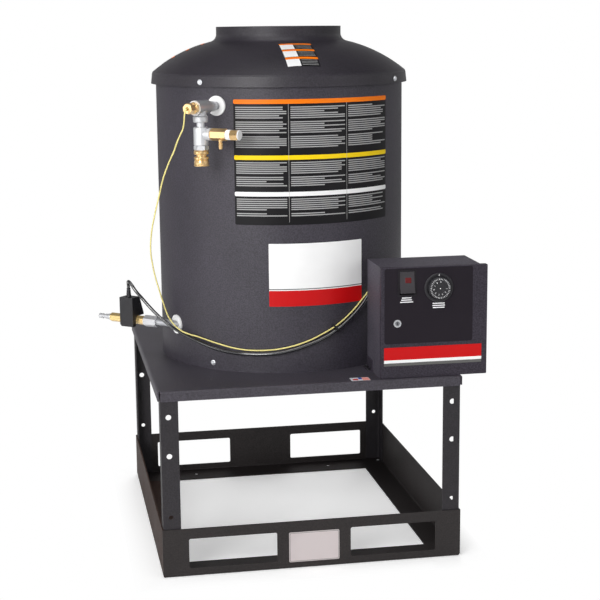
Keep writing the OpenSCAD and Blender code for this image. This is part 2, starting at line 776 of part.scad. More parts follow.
// The gas pipe ends in a thread behind the drum.
module gas_pipe() {
    start = burner_r + burner_d/2;
    thread_start = drum_r + gas_out - thread_l;
    color("#77756f") translate([0, drum_y, burner_z]) difference() {
        union() {
            rod_y(start, thread_start - start, pipe_r);
            rod_y(thread_start, thread_l, pipe_r - thread_depth);
        }
        rod_y(start - cut, drum_r + gas_out - start + 2*cut, pipe_bore/2);
    }
}

// ---- Outlet ----

// A grommet's flange on the drum's wall, around the X axis, with its waist through the wall
module grommet_flange() {
    intersection() {
        rod_x(drum_r - drill/2, drill, grommet_d/2);
        translate([0, 0, -grommet_d]) ring(2*grommet_d, drum_r + grommet_t, drum_r);
    }
}

module outlet_grommet() {
    color("#f4f4f2") at_outlet() difference() {
        union() {
            grommet_flange();
            rod_x(drum_r - drum_t - 1, grommet_t, grommet_waist_r);
        }
        rod_x(drum_r - drill/2, drill, pipe_r + run_clear);
    }
}

module outlet_pipe() {
    start = outlet_lead + coupling_web;
    color("#a9aaac") at_outlet() difference() {
        rod_x(start, tee_x + socket_l - start, pipe_r);
        rod_x(start - cut, tee_x + socket_l - start + 2*cut, pipe_bore/2);
    }
}

module outlet_tee() {
    collar_h = 14;
    color("#b5b6b8") at_outlet() difference() {
        union() {
            translate([tee_x, 0, 0]) rotate([0, 90, 0]) rotate_extrude() polygon([
                [0, 0], [tee_r - 4, 0], [tee_r - 2.5, 22], [tee_r, 27], [tee_r, tee_l - 9],
                [tee_r + 1, tee_l - 8], [tee_r + 1, tee_l], [0, tee_l]
            ]);
            translate([axis_x, 0, -tee_drop]) rotate_extrude() polygon([
                [0, 0], [tee_r + 0.7, 0], [tee_r + 1.7, 2], [tee_r + 1.7, collar_h - 3],
                [tee_r - 1, collar_h], [tee_r - 1, tee_drop], [0, tee_drop]
            ]);
        }
        rod_x(tee_x - cut, tee_l + 2*cut, port_r);
        rod_x(tee_x - cut, socket_l + cut, pipe_r + run_clear);
        rod_x(tee_end - socket_l, socket_l + cut, bushing_shank_r + run_clear);
        translate([axis_x, 0, -tee_drop - cut]) {
            cylinder(h = tee_drop + cut, r = port_r);
            cylinder(h = short_socket_l + cut, r = pipe_r + run_clear);
        }
    }
}

module probe_bushing() {
    shank_l = socket_l - 1;
    color("#c8a05a") at_outlet() translate([tee_end, 0, 0]) difference() {
        union() {
            rotate([0, 90, 0]) hex_bar(bushing_l, bushing_d);
            rod_x(-shank_l, shank_l + 1, bushing_shank_r);
        }
        rod_x(-shank_l - cut, shank_l + bushing_l + 2*cut, bulb_r + run_clear);
    }
}

module probe_gland_nut() {
    seat_l = bulb_end - tee_end - bushing_l;
    color("#c8a05a") at_outlet() translate([tee_end + bushing_l, 0, 0]) difference() {
        rotate([0, 90, 0]) rotate([0, 0, 15]) hex_bar(gland_l, gland_d);
        rod_x(-cut, gland_l + 2*cut, gland_hole_r);
        rod_x(-cut, seat_l + cut, bulb_r + run_clear);
    }
}

module thermostat_bulb() {
    color("#b08a50") at_outlet() rod_x(bulb_end - bulb_l, bulb_l, bulb_r);
}

module tee_nipple() {
    top = short_socket_l - tee_drop;
    bottom = relief_top - short_socket_l;
    color("#b5b6b8") at_outlet() translate([axis_x, 0, bottom]) ring(top - bottom, pipe_r, pipe_bore/2);
}

module relief_tee() {
    edge = 1.5;
    color("#d5d6d8") at_outlet() translate([axis_x, 0, 0]) difference() {
        union() {
            translate([0, 0, relief_bottom]) rotate_extrude() polygon([
                [0, 0], [relief_tee_r - edge, 0], [relief_tee_r, edge],
                [relief_tee_r, relief_tee_h - edge], [relief_tee_r - edge, relief_tee_h], [0, relief_tee_h]
            ]);
            translate([0, 0, relief_axis]) rotate([-90, 0, 0]) rotate_extrude() polygon([
                [0, 0], [relief_branch_r - 2, 0], [relief_branch_r - 1.4, relief_branch_l - 9],
                [relief_branch_r, relief_branch_l - 8], [relief_branch_r, relief_branch_l],
                [0, relief_branch_l]
            ]);
        }
        translate([0, 0, relief_bottom - cut]) {
            cylinder(h = relief_tee_h + 2*cut, r = port_r);
            cylinder(h = socket_l + cut, r = adapter_shank_r + run_clear);
        }
        translate([0, 0, relief_top - short_socket_l]) cylinder(h = socket_l, r = pipe_r + run_clear);
        translate([0, 0, relief_axis]) {
            rod_y(0, relief_branch_l + cut, adapter_bore_r);
            rod_y(relief_branch_l - short_socket_l, short_socket_l + cut, relief_shank_r + run_clear);
        }
    }
}

// The relief valve's drain barb, pointing down from z = 0
module drain_barb() {
    rotate([180, 0, 0]) rotate_extrude() polygon([
        [2.2, 0], [4.4, 0], [4.4, 5], [3.5, 6], [3.5, 8],
        [4.6, 9], [3.7, 13], [4.6, 14], [3.4, 21], [2.2, 21]
    ]);
}

module relief_valve_body() {
    shank_l = short_socket_l - 0.5;
    stem_depth = 14;
    barb_y = relief_branch_l + 21;
    barb_top = relief_hex_d*cos(30)/2 - 1.5;
    color("#c8a05a") at_outlet() translate([axis_x, 0, relief_axis]) {
        difference() {
            union() {
                translate([0, relief_branch_l, 0]) rotate([-90, 30, 0]) hex_bar(relief_hex_l, relief_hex_d);
                rod_y(relief_branch_l - shank_l, shank_l + 1, relief_shank_r);
            }
            rod_y(relief_branch_l - shank_l - cut, shank_l + relief_hex_l, adapter_bore_r - 1);
            rod_y(relief_ring_y - stem_depth, stem_depth + cut, relief_stem_r + run_clear);
            translate([0, barb_y, -relief_hex_d]) cylinder(h = relief_hex_d, r = 2.2);
        }
        translate([0, barb_y, -barb_top]) drain_barb();
    }
}

module relief_lock_ring() {
    ring_r = relief_hex_d/2 - 2.2;
    color("#f4f4f2") at_outlet() translate([axis_x, relief_ring_y, relief_axis]) rotate([-90, 0, 0])
        difference() {
            cylinder(h = relief_ring_l, r = ring_r);
            translate([0, 0, -cut]) cylinder(h = relief_ring_l + 2*cut, r = relief_stem_r + run_clear);
            for (i = [0:11]) rotate([0, 0, 30*i]) translate([ring_r + 0.8, 0, -cut])
                cylinder(h = relief_ring_l + 2*cut, r = 1.6);
        }
}

module relief_cap() {
    stem_l = relief_ring_l + 13;
    color("#c8a05a") at_outlet() translate([axis_x, relief_cap_y, relief_axis]) {
        rotate([-90, 0, 0]) hex_bar(relief_cap_l, relief_hex_d - 2.6);
        rod_y(-stem_l, stem_l + 1, relief_stem_r);
    }
}

module relief_end_cap() {
    r = relief_hex_d/2 - 2.5;
    h = 2.6;
    color("#f4f4f2") at_outlet() translate([axis_x, relief_cap_y + relief_cap_l, relief_axis])
        rotate([-90, 0, 0]) rotate_extrude() polygon([[0, 0], [r, 0], [r + 0.2, h - 1], [r - 1, h], [0, h]]);
}

module coupler_adapter() {
    upper_l = socket_l - 1;
    lower_l = coupler_collar_h - 1;
    whole_l = lower_l + adapter_h + upper_l;
    color("#b9bbbe") at_outlet() translate([axis_x, 0, adapter_bottom]) difference() {
        union() {
            hex_bar(adapter_h, adapter_d);
            translate([0, 0, adapter_h - 1]) cylinder(h = upper_l + 1, r = adapter_shank_r);
            translate([0, 0, -lower_l]) cylinder(h = lower_l + 1, r = coupler_shank_r);
        }
        translate([0, 0, -lower_l - cut]) cylinder(h = whole_l + 2*cut, r = adapter_bore_r);
    }
}

module coupler_body() {
    tube_top = adapter_bottom - coupler_collar_h;
    bore_top = tube_top - 1.5;
    color("#c8a05a") at_outlet() translate([axis_x, 0, 0]) difference() {
        union() {
            translate([0, 0, tube_top]) rotate_extrude() polygon([
                [0, 0], [sleeve_r - 1.6, 0], [sleeve_r - 0.4, 1.2], [sleeve_r - 0.4, coupler_collar_h - 3],
                [sleeve_r - 2, coupler_collar_h], [0, coupler_collar_h]
            ]);
            translate([0, 0, coupler_end]) cylinder(h = tube_top - coupler_end, r = coupler_tube_r);
            translate([0, 0, coupler_end]) cylinder(h = coupler_lip_h, r = coupler_lip_r);
        }
        translate([0, 0, tube_top + 0.5]) cylinder(h = coupler_collar_h, r = coupler_shank_r + run_clear);
        translate([0, 0, coupler_end - cut]) {
            cylinder(h = bore_top - coupler_end + cut, r = coupler_bore_r);
            cylinder(h = adapter_bottom - coupler_end + 2*cut, r = adapter_bore_r);
        }
        for (i = [0:coupler_ball_count - 1]) rotate([0, 0, 360*i/coupler_ball_count])
            translate([0, 0, ball_z]) rod_x(coupler_bore_r - cut, coupler_tube_r, ball_r + run_clear);
    }
}

module coupler_balls() {
    color("#d0d2d5") at_outlet() translate([axis_x, 0, ball_z])
        for (i = [0:coupler_ball_count - 1]) rotate([0, 0, 360*i/coupler_ball_count])
            translate([ball_ring_r, 0, 0]) sphere(r = ball_r);
}

// The sleeve rests on the lip at the body's lower end.
module coupler_sleeve() {
    lip_room = coupler_lip_h - soft_clear + seat_gap;
    color("#c8a05a") at_outlet() translate([axis_x, 0, sleeve_bottom]) difference() {
        rotate_extrude() polygon([
            [0, 0], [sleeve_r - 0.8, 0], [sleeve_r, 0.8], [sleeve_r, 2.2], [sleeve_r - 0.9, 3],
            [sleeve_r - 0.4, 8], [sleeve_r - 1.6, sleeve_l - 7.5], [sleeve_r - 2.4, sleeve_l - 6.5],
            [sleeve_r - 0.6, sleeve_l - 5], [sleeve_r - 0.6, sleeve_l - 1], [sleeve_r - 1.6, sleeve_l],
            [0, sleeve_l]
        ]);
        translate([0, 0, -cut]) cylinder(h = sleeve_l + 2*cut, r = coupler_tube_r + run_clear);
        translate([0, 0, -cut]) cylinder(h = lip_room + cut, r = coupler_lip_r + soft_clear);
    }
}

// ---- Inlet ----

module inlet_grommet() {
    color("#f4f4f2") difference() {
        translate(drum_axis + [0, 0, inlet_z]) rotate([0, 0, wall_polar]) grommet_flange();
        at_inlet() rod_x(-drill/2, drill, pipe_r + run_clear);
    }
}

module inlet_pipe() {
    start = inlet_lead - wall_l + coupling_web;
    end = inlet_coupling_start + socket_l;
    color("#a9aaac") at_inlet() difference() {
        rod_x(start, end - start, pipe_r);
        rod_x(start - cut, end - start + 2*cut, pipe_bore/2);
    }
}

module inlet_coupling() {
    color("#c4c6c8") at_inlet() translate([inlet_coupling_start, 0, 0]) difference() {
        rotate([0, 90, 0]) hex_bar(inlet_coupling_l, inlet_coupling_d);
        rod_x(-cut, socket_l + cut, pipe_r + run_clear);
        rod_x(-cut, inlet_coupling_l + 2*cut, pipe_bore/2);
        rod_x(inlet_coupling_l - socket_l, socket_l + cut, flow_shank_r + run_clear);
    }
}

module flow_body() {
    shank_l = socket_l - 1;
    color("#c8a05a") at_inlet() difference() {
        union() {
            rod_x(flow_start - shank_l, shank_l + 1, flow_shank_r);
            translate([flow_start, 0, 0]) rotate([0, 90, 0]) hex_bar(flow_hex_in, flow_hex_d);
            rod_x(housing_start - 1, housing_l + 2, flow_barrel_r);
            translate([flow_hex_x, 0, 0]) rotate([0, 90, 0]) hex_bar(flow_hex_out, flow_hex_d);
        }
        rod_x(flow_start - shank_l - cut, flow_end - flow_start + shank_l + 2*cut, adapter_bore_r);
        rod_x(chamber_start, chamber_end - chamber_start, flow_bore_r);
        rod_x(flow_end - short_socket_l, short_socket_l + cut, plug_shank_r + run_clear);
    }
}

// The piston rests at the plug's end of its chamber and is pushed towards the heater by the flow.
module flow_piston() {
    color("#3a3a3c") at_inlet() difference() {
        rod_x(chamber_end - seat_gap - piston_l, piston_l, flow_bore_r - run_clear);
        rod_x(chamber_end - seat_gap - piston_l - cut, piston_l + 2*cut, 3);
        for (i = [0:3]) rotate([90*i + 45, 0, 0]) translate([0, flow_bore_r + 0.8, 0])
            rod_x(chamber_end - seat_gap - piston_l - cut, piston_l + 2*cut, 2);
    }
}

// The housing saddles the barrel: its front leg reaches below the pipe, its back leg ends above it.
module flow_switch_housing() {
    leg_bottom = -14;
    back_bottom = flow_barrel_r;
    back_y = -22;
    corner_cut = 6;
    color("#232325") at_inlet() difference() {
        translate([housing_start, 0, 0]) rotate([90, 0, 90]) linear_extrude(housing_l) difference() {
            polygon([
                [saddle_r, leg_bottom], [housing_front, leg_bottom], [housing_front, housing_top],
                [housing_front - 29, housing_top], [back_y, back_bottom + 4], [back_y, back_bottom],
                [saddle_r, back_bottom]
            ]);
            circle(saddle_r);
        }
        translate([flow_hex_x, 0, leg_bottom]) rotate([0, 45, 0])
            cube([corner_cut, 3*housing_front, corner_cut], center = true);
    }
}

module strain_relief() {
    tip_r = cable_d/2 + 0.7;
    grooves = 4;
    groove_w = 1.6;
    groove_depth = 1;
    step = strain_relief_l/(grooves + 1.5);
    color("#232325") at_inlet() translate([strain_relief_at[0], strain_relief_at[1], housing_top])
        difference() {
            cylinder(h = strain_relief_l, r1 = strain_relief_r, r2 = tip_r);
            for (i = [1:grooves]) translate([0, 0, i*step + 1])
                ring(groove_w, strain_relief_r + cut, strain_relief_r - groove_depth - 0.3*i);
        }
}

module inlet_plug() {
    shank_l = short_socket_l - 0.5;
    collar_r2 = plug_r + 1.2;
    color("#b9bbbe") at_inlet() translate([flow_end, 0, 0]) difference() {
        rotate([0, 90, 0]) rotate_extrude() polygon(concat(
            [[0, -shank_l], [plug_shank_r, -shank_l], [plug_shank_r, 0], [collar_r2, 0], [collar_r2, 7],
             [plug_r, 9], [plug_r, plug_l - 19], [plug_r - 1.3, plug_l - 17.5], [plug_r - 1.3, plug_l - 13],
             [plug_r, plug_l - 11.5]],
            arc([plug_r - 2, plug_l - 2], 2, 0, 90, 6),
            [[0, plug_l]]
        ));
        rod_x(-shank_l - cut, plug_l + shank_l + 2*cut, 3);
    }
}

// ---- Control box ----

module box_body() {
    depth = box_edge - box_back;
    color("#3e3e46") difference() {
        translate([box_x, -box_edge, deck_z]) cube([box_w, depth, box_h]);
        translate([box_x + box_t, box_t - box_edge, deck_z + box_t])
            cube([box_w - 2*box_t, depth - 2*box_t, box_h - 2*box_t]);
        translate([box_x + box_lip, -box_edge - cut, deck_z + box_lip])
            cube([box_w - 2*box_lip, box_t + 2*cut, box_h - 2*box_lip]);
        translate(cable_hole) rod_y(-box_t - cut, box_t + 2*cut, cord_waist(cable_d));
        translate(capillary_hole) rod_y(-box_t - cut, box_t + 2*cut, cord_waist(capillary_d));
    }
}

// The door is a shallow pan with its open side to the back.
module box_door() {
    w = door_right - box_x;
    h = box_h - door_lift;
    corner_r = 2;
    centre = [box_x + w/2, -door_back, deck_z + door_lift + h/2];
    color("#3e3e46") difference() {
        translate(centre) rotate([90, 0, 0]) linear_extrude(door_depth) rounded_rect(w, h, corner_r);
        translate(centre + [0, cut, 0]) rotate([90, 0, 0]) linear_extrude(door_depth - box_t + cut)
            rounded_rect(w - 2*box_t, h - 2*box_t, corner_r/2);
        translate([rocker_centre[0], -door_inside + cut, rocker_centre[2]]) rotate([90, 0, 0])
            linear_extrude(box_t + 2*cut) square(rocker_hole + [0.4, 0.4], center = true);
        translate(dial_centre) rod_y(-cut, box_t + 2*cut, dial_shaft_r + soft_clear);
        translate(lock_centre) rod_y(-cut, box_t + 2*cut, lock_barrel_r + run_clear);
    }
}

// One knuckle of a hinge, on the hinge's axis
module knuckle(z, bore_r) {
    translate([hinge_x, hinge_y, z]) ring(knuckle_l, knuckle_r, bore_r);
}

// The fixed leaves are screwed to the box's right side and hold the pins.
module hinge_fixed() {
    strap_y = hinge_y + knuckle_r - box_t;
    color("#2e2e33") for (z = hinge_bottoms) {
        translate([box_right, strap_y, z]) cube([box_t, hinge_leaf_w, hinge_l]);
        for (s = [z, z + hinge_l - knuckle_l]) {
            knuckle(s, hinge_pin_r - 0.2);
            translate([box_right, strap_y, s]) cube([door_over/2, box_t, knuckle_l]);
        }
        translate([hinge_x, hinge_y, z]) cylinder(h = hinge_l, r = hinge_pin_r);
    }
}

// The moving leaves are welded to the inside of the door.
module hinge_moving() {
    strap_x = hinge_x + knuckle_r - box_t;
    pad_w = 12;
    color("#2e2e33") for (z = hinge_bottoms) let (s = z + knuckle_l + knuckle_gap) {
        difference() {
            union() {
                translate([hinge_x, hinge_y, s]) cylinder(h = knuckle_l, r = knuckle_r);
                translate([strap_x, -door_inside, s]) cube([box_t, door_inside + hinge_y, knuckle_l]);
            }
            translate([hinge_x, hinge_y, s - cut])
                cylinder(h = knuckle_l + 2*cut, r = hinge_pin_r + run_clear);
        }
        translate([strap_x + box_t - pad_w, -door_inside, s]) cube([pad_w, box_t, knuckle_l]);
    }
}

// An angle that ties the box's left side to the deck
module box_bracket() {
    color("#3e3e46") translate([box_x, -box_back - 5 - bracket_l, deck_z]) {
        translate([-bracket_t, 0, 0]) cube([bracket_t, bracket_l, bracket_h]);
        translate([-bracket_w, 0, 0]) cube([bracket_w, bracket_l, bracket_t]);
    }
}

// The frame's rim lies on the door; its well ends in front of the box, with the switch behind it.
module rocker_frame() {
    opening = rocker_hole - 2*[frame_wall, frame_wall];
    rim = rocker_hole + 2*[frame_rim, frame_rim];
    rim_t = 1.5;
    tub_l = door_depth + door_gap - 0.4;
    well_l = tub_l - frame_wall;
    switch_size = [rocker_w - 2, 38, 20];
    color("#1f1f22") translate([rocker_centre[0], -box_front, rocker_centre[2]]) difference() {
        rotate([90, 0, 0]) {
            linear_extrude(rim_t) rounded_rect(rim[0], rim[1], 2);
            translate([0, 0, -tub_l]) linear_extrude(tub_l + rim_t) square(rocker_hole, center = true);
            translate([-switch_size[0]/2, -switch_size[1]/2, -tub_l - switch_size[2]]) cube(switch_size);
        }
        rotate([90, 0, 0]) translate([0, 0, -well_l]) linear_extrude(well_l + rim_t + cut)
            square(opening, center = true);
        translate([-rocker_hole[0], rocker_depth, 0]) rod_x(0, 2*rocker_hole[0], rocker_pin_r + run_clear);
    }
}

// The rocker stands with its lower end out.
module rocker() {
    half = rocker_h/2 - 0.4;
    face = 8.5;
    back = 2;
    pin_l = rocker_side_gap + frame_wall - 0.4;
    color("#3f3f44") translate(rocker_centre) rotate([-rocker_tilt, 0, 0]) {
        translate([-rocker_w/2, 0, 0]) rotate([90, 0, 90]) linear_extrude(rocker_w) polygon(concat(
            [[-4, -half + 1], [-face, -half]],
            arc([-face - 4*half, 0], 4*half + 1, -14, 14, 8),
            [[-face, half], [-4, half - 1], [back, half - 12], [back, -half + 12]]
        ));
        rod_x(-rocker_w/2 - pin_l, rocker_w + 2*pin_l, rocker_pin_r);
    }
}

module thermostat_body() {
    size = thermostat_size;
    color("#8f9094") translate([dial_centre[0], -door_inside, dial_centre[2]]) difference() {
        translate([-size[0]/2, 0, -size[2]/2]) cube(size);
        rod_y(-cut, 14 + cut, dial_shaft_r + run_clear);
    }
}

module thermostat_bezel() {
    r = dial_r + 0.5;
    h = 2.8;
    color("#222225") translate(dial_centre) rotate([90, 0, 0]) rotate_extrude()
        polygon([[r, 0], [bezel_r, 0], [bezel_r, h - 1.2], [bezel_r - 1.2, h], [r + 1.2, h], [r, h - 0.8]]);
}

module thermostat_dial() {
    base = 1;
    shaft_l = base + box_t + 13;
    color("#2a2a2e") translate(dial_centre) rotate([90, 0, 0]) difference() {
        union() {
            rotate_extrude() polygon([
                [0, base], [dial_r, base], [dial_r, base + 2], [dial_r - 0.6, dial_h - 1.2],
                [dial_r - 1.8, dial_h], [0, dial_h]
            ]);
            translate([0, 0, base - shaft_l]) cylinder(h = shaft_l + 1, r = dial_shaft_r);
        }
        for (i = [0:23]) rotate([0, 0, 15*i]) translate([dial_r + 0.4, 0, base + 3])
            cylinder(h = dial_h, r = 1.2);
    }
}

module lock_body() {
    head_t = 3;
    barrel_end = cam_y - seat_gap;
    barrel_l = barrel_end + box_front;
    color("#c9cbce") translate(lock_centre) difference() {
        union() {
            rod_y(-head_t, head_t, lock_r);
            rod_y(-1, barrel_l + 1, lock_barrel_r);
            translate([0, box_t, 0]) rotate([-90, 0, 0]) hex_bar(lock_nut_t, lock_nut_d);
        }
        rod_y(-head_t - cut, barrel_l + head_t + 2*cut, lock_plug_r + run_clear);
    }
}

// The plug with its key slot, and the cam behind it, which stands up when the door is unlocked
module lock_cam() {
    front = box_front + 2.6;
    cam_w = 14;
    nut_t = 3;
    color("#c9cbce") translate([lock_centre[0], 0, lock_centre[2]]) {
        difference() {
            rod_y(-front, cam_y + front, lock_plug_r);
            translate([-0.9, -front - cut, -3]) cube([1.8, 4 + cut, 6]);
        }
        translate([0, cam_y + cam_t, 0]) rotate([90, 0, 0]) linear_extrude(cam_t) {
            circle(cam_w/2);
            translate([-cam_w/2, 0]) square([cam_w, cam_l - cam_w/2]);
            translate([0, cam_l - cam_w/2]) circle(cam_w/2);
        }
        translate([0, cam_y + cam_t, 0]) rotate([-90, 0, 0]) hex_bar(nut_t, 11);
    }
}

module terminal_block() {
    poles = 6;
    pole_w = 10;
    block_h = 22;
    block_t = 14;
    at = [box_x + 100, -box_back - box_t - block_t, deck_z + 60];
    color("#e6e2d4") translate(at) difference() {
        cube([poles*pole_w, block_t, block_h]);
        for (i = [0:poles - 1]) translate([(i + 0.5)*pole_w, 0, 0]) {
            translate([-3.5, -cut, -cut]) cube([7, 5 + cut, 6 + cut]);
            translate([-3.5, -cut, block_h - 6]) cube([7, 5 + cut, 6 + cut]);
            translate([0, 0, block_h/2]) rod_y(-cut, 4 + cut, 2.5);
        }
    }
}

module transformer() {
    core = [50, 26, 42];
    coil_t = 8;
    at = [box_x + 40, -box_back - box_t - core[1] - coil_t, deck_z + box_t];
    color("#8a6a4a") translate(at) {
        cube(core);
        translate([10, -coil_t, 8]) cube([core[0] - 20, core[1] + 2*coil_t, core[2] - 16]);
    }
}

// Radius of the hole that a cord's grommet sits in
function cord_waist(d) = d/2 + 2.2;

module cord_grommet(d) {
    flange_r = cord_waist(d) + 2;
    flange_t = 2;
    difference() {
        union() {
            rod_y(0, flange_t, flange_r);
            rod_y(-box_t - flange_t, flange_t, flange_r);
            rod_y(-box_t - cut, box_t + 2*cut, cord_waist(d) - run_clear);
        }
        rod_y(-box_t - flange_t - cut, box_t + 2*flange_t + 2*cut, d/2 - 0.05);
    }
}

module cord_grommets() {
    color("#1c1c1e") {
        translate(cable_hole) cord_grommet(cable_d);
        translate(capillary_hole) cord_grommet(capillary_d);
    }
}

// ---- Cords ----

module switch_cable() {
    color("#1f1f21") swept_tube(cable_route, cable_d/2, 8);
}

module capillary() {
    color("#e8d44a") swept_tube(capillary_route, capillary_d/2, 8, [0, 0, 1]);
}

base_front_rail();
base_back_rail();
base_left_rail();
base_right_rail();
leg(-1, -1);  // leg_front_left
leg(1, -1);  // leg_front_right
leg(-1, 1);  // leg_back_left
leg(1, 1);  // leg_back_right
deck();
drum_shell();
drum_lid();
drum_foot_ring();
insulation();
heating_coil();
coil_couplings();
burner_ring();
burner_bars();
gas_pipe();
outlet_grommet();
outlet_pipe();
outlet_tee();
probe_bushing();
probe_gland_nut();
thermostat_bulb();
tee_nipple();
relief_tee();
relief_valve_body();
relief_lock_ring();
relief_cap();
relief_end_cap();
coupler_adapter();
coupler_body();
coupler_balls();
coupler_sleeve();
inlet_grommet();
inlet_pipe();
inlet_coupling();
flow_body();
flow_piston();
flow_switch_housing();
strain_relief();
inlet_plug();
box_body();
box_door();
hinge_fixed();
hinge_moving();
box_bracket();
rocker_frame();
rocker();
thermostat_body();
thermostat_bezel();
thermostat_dial();
lock_body();
lock_cam();
terminal_block();
transformer();
cord_grommets();
switch_cable();
capillary();
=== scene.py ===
import json
import math
import random

import bmesh
import bpy
from mathutils import Matrix, Vector


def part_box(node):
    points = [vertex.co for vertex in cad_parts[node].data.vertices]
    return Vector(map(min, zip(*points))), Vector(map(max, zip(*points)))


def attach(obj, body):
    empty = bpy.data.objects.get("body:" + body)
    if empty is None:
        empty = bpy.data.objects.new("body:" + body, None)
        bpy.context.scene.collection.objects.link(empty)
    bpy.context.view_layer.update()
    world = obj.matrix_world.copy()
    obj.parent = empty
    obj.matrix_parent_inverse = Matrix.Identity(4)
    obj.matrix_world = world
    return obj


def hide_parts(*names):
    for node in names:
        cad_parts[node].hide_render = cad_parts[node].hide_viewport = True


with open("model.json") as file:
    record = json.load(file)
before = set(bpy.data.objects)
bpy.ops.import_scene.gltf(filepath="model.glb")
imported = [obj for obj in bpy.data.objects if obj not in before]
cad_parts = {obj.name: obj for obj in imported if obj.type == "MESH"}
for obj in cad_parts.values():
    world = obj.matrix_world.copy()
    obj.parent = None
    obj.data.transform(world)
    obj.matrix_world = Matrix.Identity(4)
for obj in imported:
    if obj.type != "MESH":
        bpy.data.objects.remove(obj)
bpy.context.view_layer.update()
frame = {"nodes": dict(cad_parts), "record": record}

MM = 0.001

# The drum, the door and the stand, as the frame has them, in metres
DRUM_LOW, DRUM_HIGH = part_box("drum_shell")
DRUM_R = (DRUM_HIGH[0] - DRUM_LOW[0]) / 2
DRUM_Y = (DRUM_HIGH[1] + DRUM_LOW[1]) / 2
LID_LOW, LID_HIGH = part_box("drum_lid")
SKIRT_R = (LID_HIGH[0] - LID_LOW[0]) / 2
DOOR_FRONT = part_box("box_door")[0][1]
DECK_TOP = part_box("deck")[1][2]
BASE_LOW, BASE_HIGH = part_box("base_front_rail")

# How far a sticker stands off its surface, and how far the ink on the dial does
STICKER = 0.3 * MM
INK = 0.1 * MM

# Smooth shading stops at an edge that is sharper than this, in degrees
PIECE_CREASE = 35
NODE_CREASE = 32

# The lid's dome, in millimetres: one arc round a centre that stands off the drum's axis
DOME_CENTRE_R = 79.3
DOME_CENTRE_Z = 808.8
DOME_ARC_R = 335.0

# The controls on the door, in millimetres
SWITCH_X = 207.8
DIAL_X, DIAL_Z = 279.5, 611.8
BEZEL_R = 32.0
LOCK_X, LOCK_Z = 187.2, 536.8
LOCK_R = 8.5


# ---- Camera ----

def make_camera():
    """The camera of the photograph: where it stands, and how it is turned."""
    at = (-0.5796, -3.3749, 1.1848)
    yaw, pitch, roll = 10.4534, 10.8798, -0.5487
    data = bpy.data.cameras.new("camera")
    data.lens = 87.827
    data.sensor_width = 36
    data.clip_start = 0.05
    camera = bpy.data.objects.new("camera", data)
    bpy.context.collection.objects.link(camera)
    turn = Matrix.Rotation(math.radians(-yaw), 4, "Z") @ Matrix.Rotation(math.radians(90 - pitch), 4, "X")
    camera.matrix_world = Matrix.Translation(at) @ turn @ Matrix.Rotation(math.radians(roll), 4, "Z")
    bpy.context.scene.camera = camera


# ---- Materials ----

WHITE = (1, 1, 1, 1)
BLACK = (0, 0, 0, 1)


def srgb(red, green, blue):
    """A display colour from 0 to 255 as the linear colour that a shader takes."""
    def linear(value):
        value /= 255
        return value / 12.92 if value <= 0.04045 else ((value + 0.055) / 1.055) ** 2.4
    return (linear(red), linear(green), linear(blue), 1)


def shade(colour, factor):
    """A colour made darker or lighter."""
    return tuple(min(1, c * factor) for c in colour[:3]) + (1,)


def noise(nodes, links, scale, detail, stretch=(1, 1, 1)):
    """A noise texture in object coordinates, stretched along the axes."""
    place = nodes.new("ShaderNodeTexCoord")
    size = nodes.new("ShaderNodeMapping")
    size.inputs["Scale"].default_value = stretch
    texture = nodes.new("ShaderNodeTexNoise")
    texture.inputs["Scale"].default_value = scale
    texture.inputs["Detail"].default_value = detail
    links.new(place.outputs["Object"], size.inputs["Vector"])
    links.new(size.outputs["Vector"], texture.inputs["Vector"])
    return texture.outputs["Fac"]


def ramp(nodes, links, value, low, high, start=0.35, end=0.65):
    """Maps a texture's value to a colour between two colours."""
    blend = nodes.new("ShaderNodeValToRGB")
    blend.color_ramp.elements[0].position = start
    blend.color_ramp.elements[1].position = end
    blend.color_ramp.elements[0].color = low
    blend.color_ramp.elements[1].color = high
    links.new(value, blend.inputs["Fac"])
    return blend.outputs["Color"]


def worn_edges(nodes, links, tone, edge_highlight, edge):
    """Painted highlight: a colour that turns to another, lighter one along the edges: `edge` is their width
    in millimetres.
    """
    bevel = nodes.new("ShaderNodeBevel")
    bevel.samples = 4
    bevel.inputs["Radius"].default_value = edge * MM
    shape = nodes.new("ShaderNodeNewGeometry")
    dot = nodes.new("ShaderNodeVectorMath")
    dot.operation = "DOT_PRODUCT"
    links.new(bevel.outputs["Normal"], dot.inputs[0])
    links.new(shape.outputs["True Normal"], dot.inputs[1])
    highlight_mask = ramp(nodes, links, dot.outputs["Value"], WHITE, BLACK, start=0.8, end=0.97)
    mix = nodes.new("ShaderNodeMix")
    mix.data_type = "RGBA"
    links.new(highlight_mask, mix.inputs["Factor"])
    links.new(tone, mix.inputs["A"])
    mix.inputs["B"].default_value = edge_highlight
    return mix.outputs["Result"]


def speckled(nodes, links, tone, fine, strength):
    """A colour with darker specks where a fine noise is low."""
    specks = ramp(nodes, links, fine, shade(WHITE, 1 - strength), WHITE, start=0.38, end=0.62)
    mix = nodes.new("ShaderNodeMix")
    mix.data_type = "RGBA"
    mix.blend_type = "MULTIPLY"
    mix.inputs["Factor"].default_value = 1
    links.new(tone, mix.inputs["A"])
    links.new(specks, mix.inputs["B"])
    return mix.outputs["Result"]


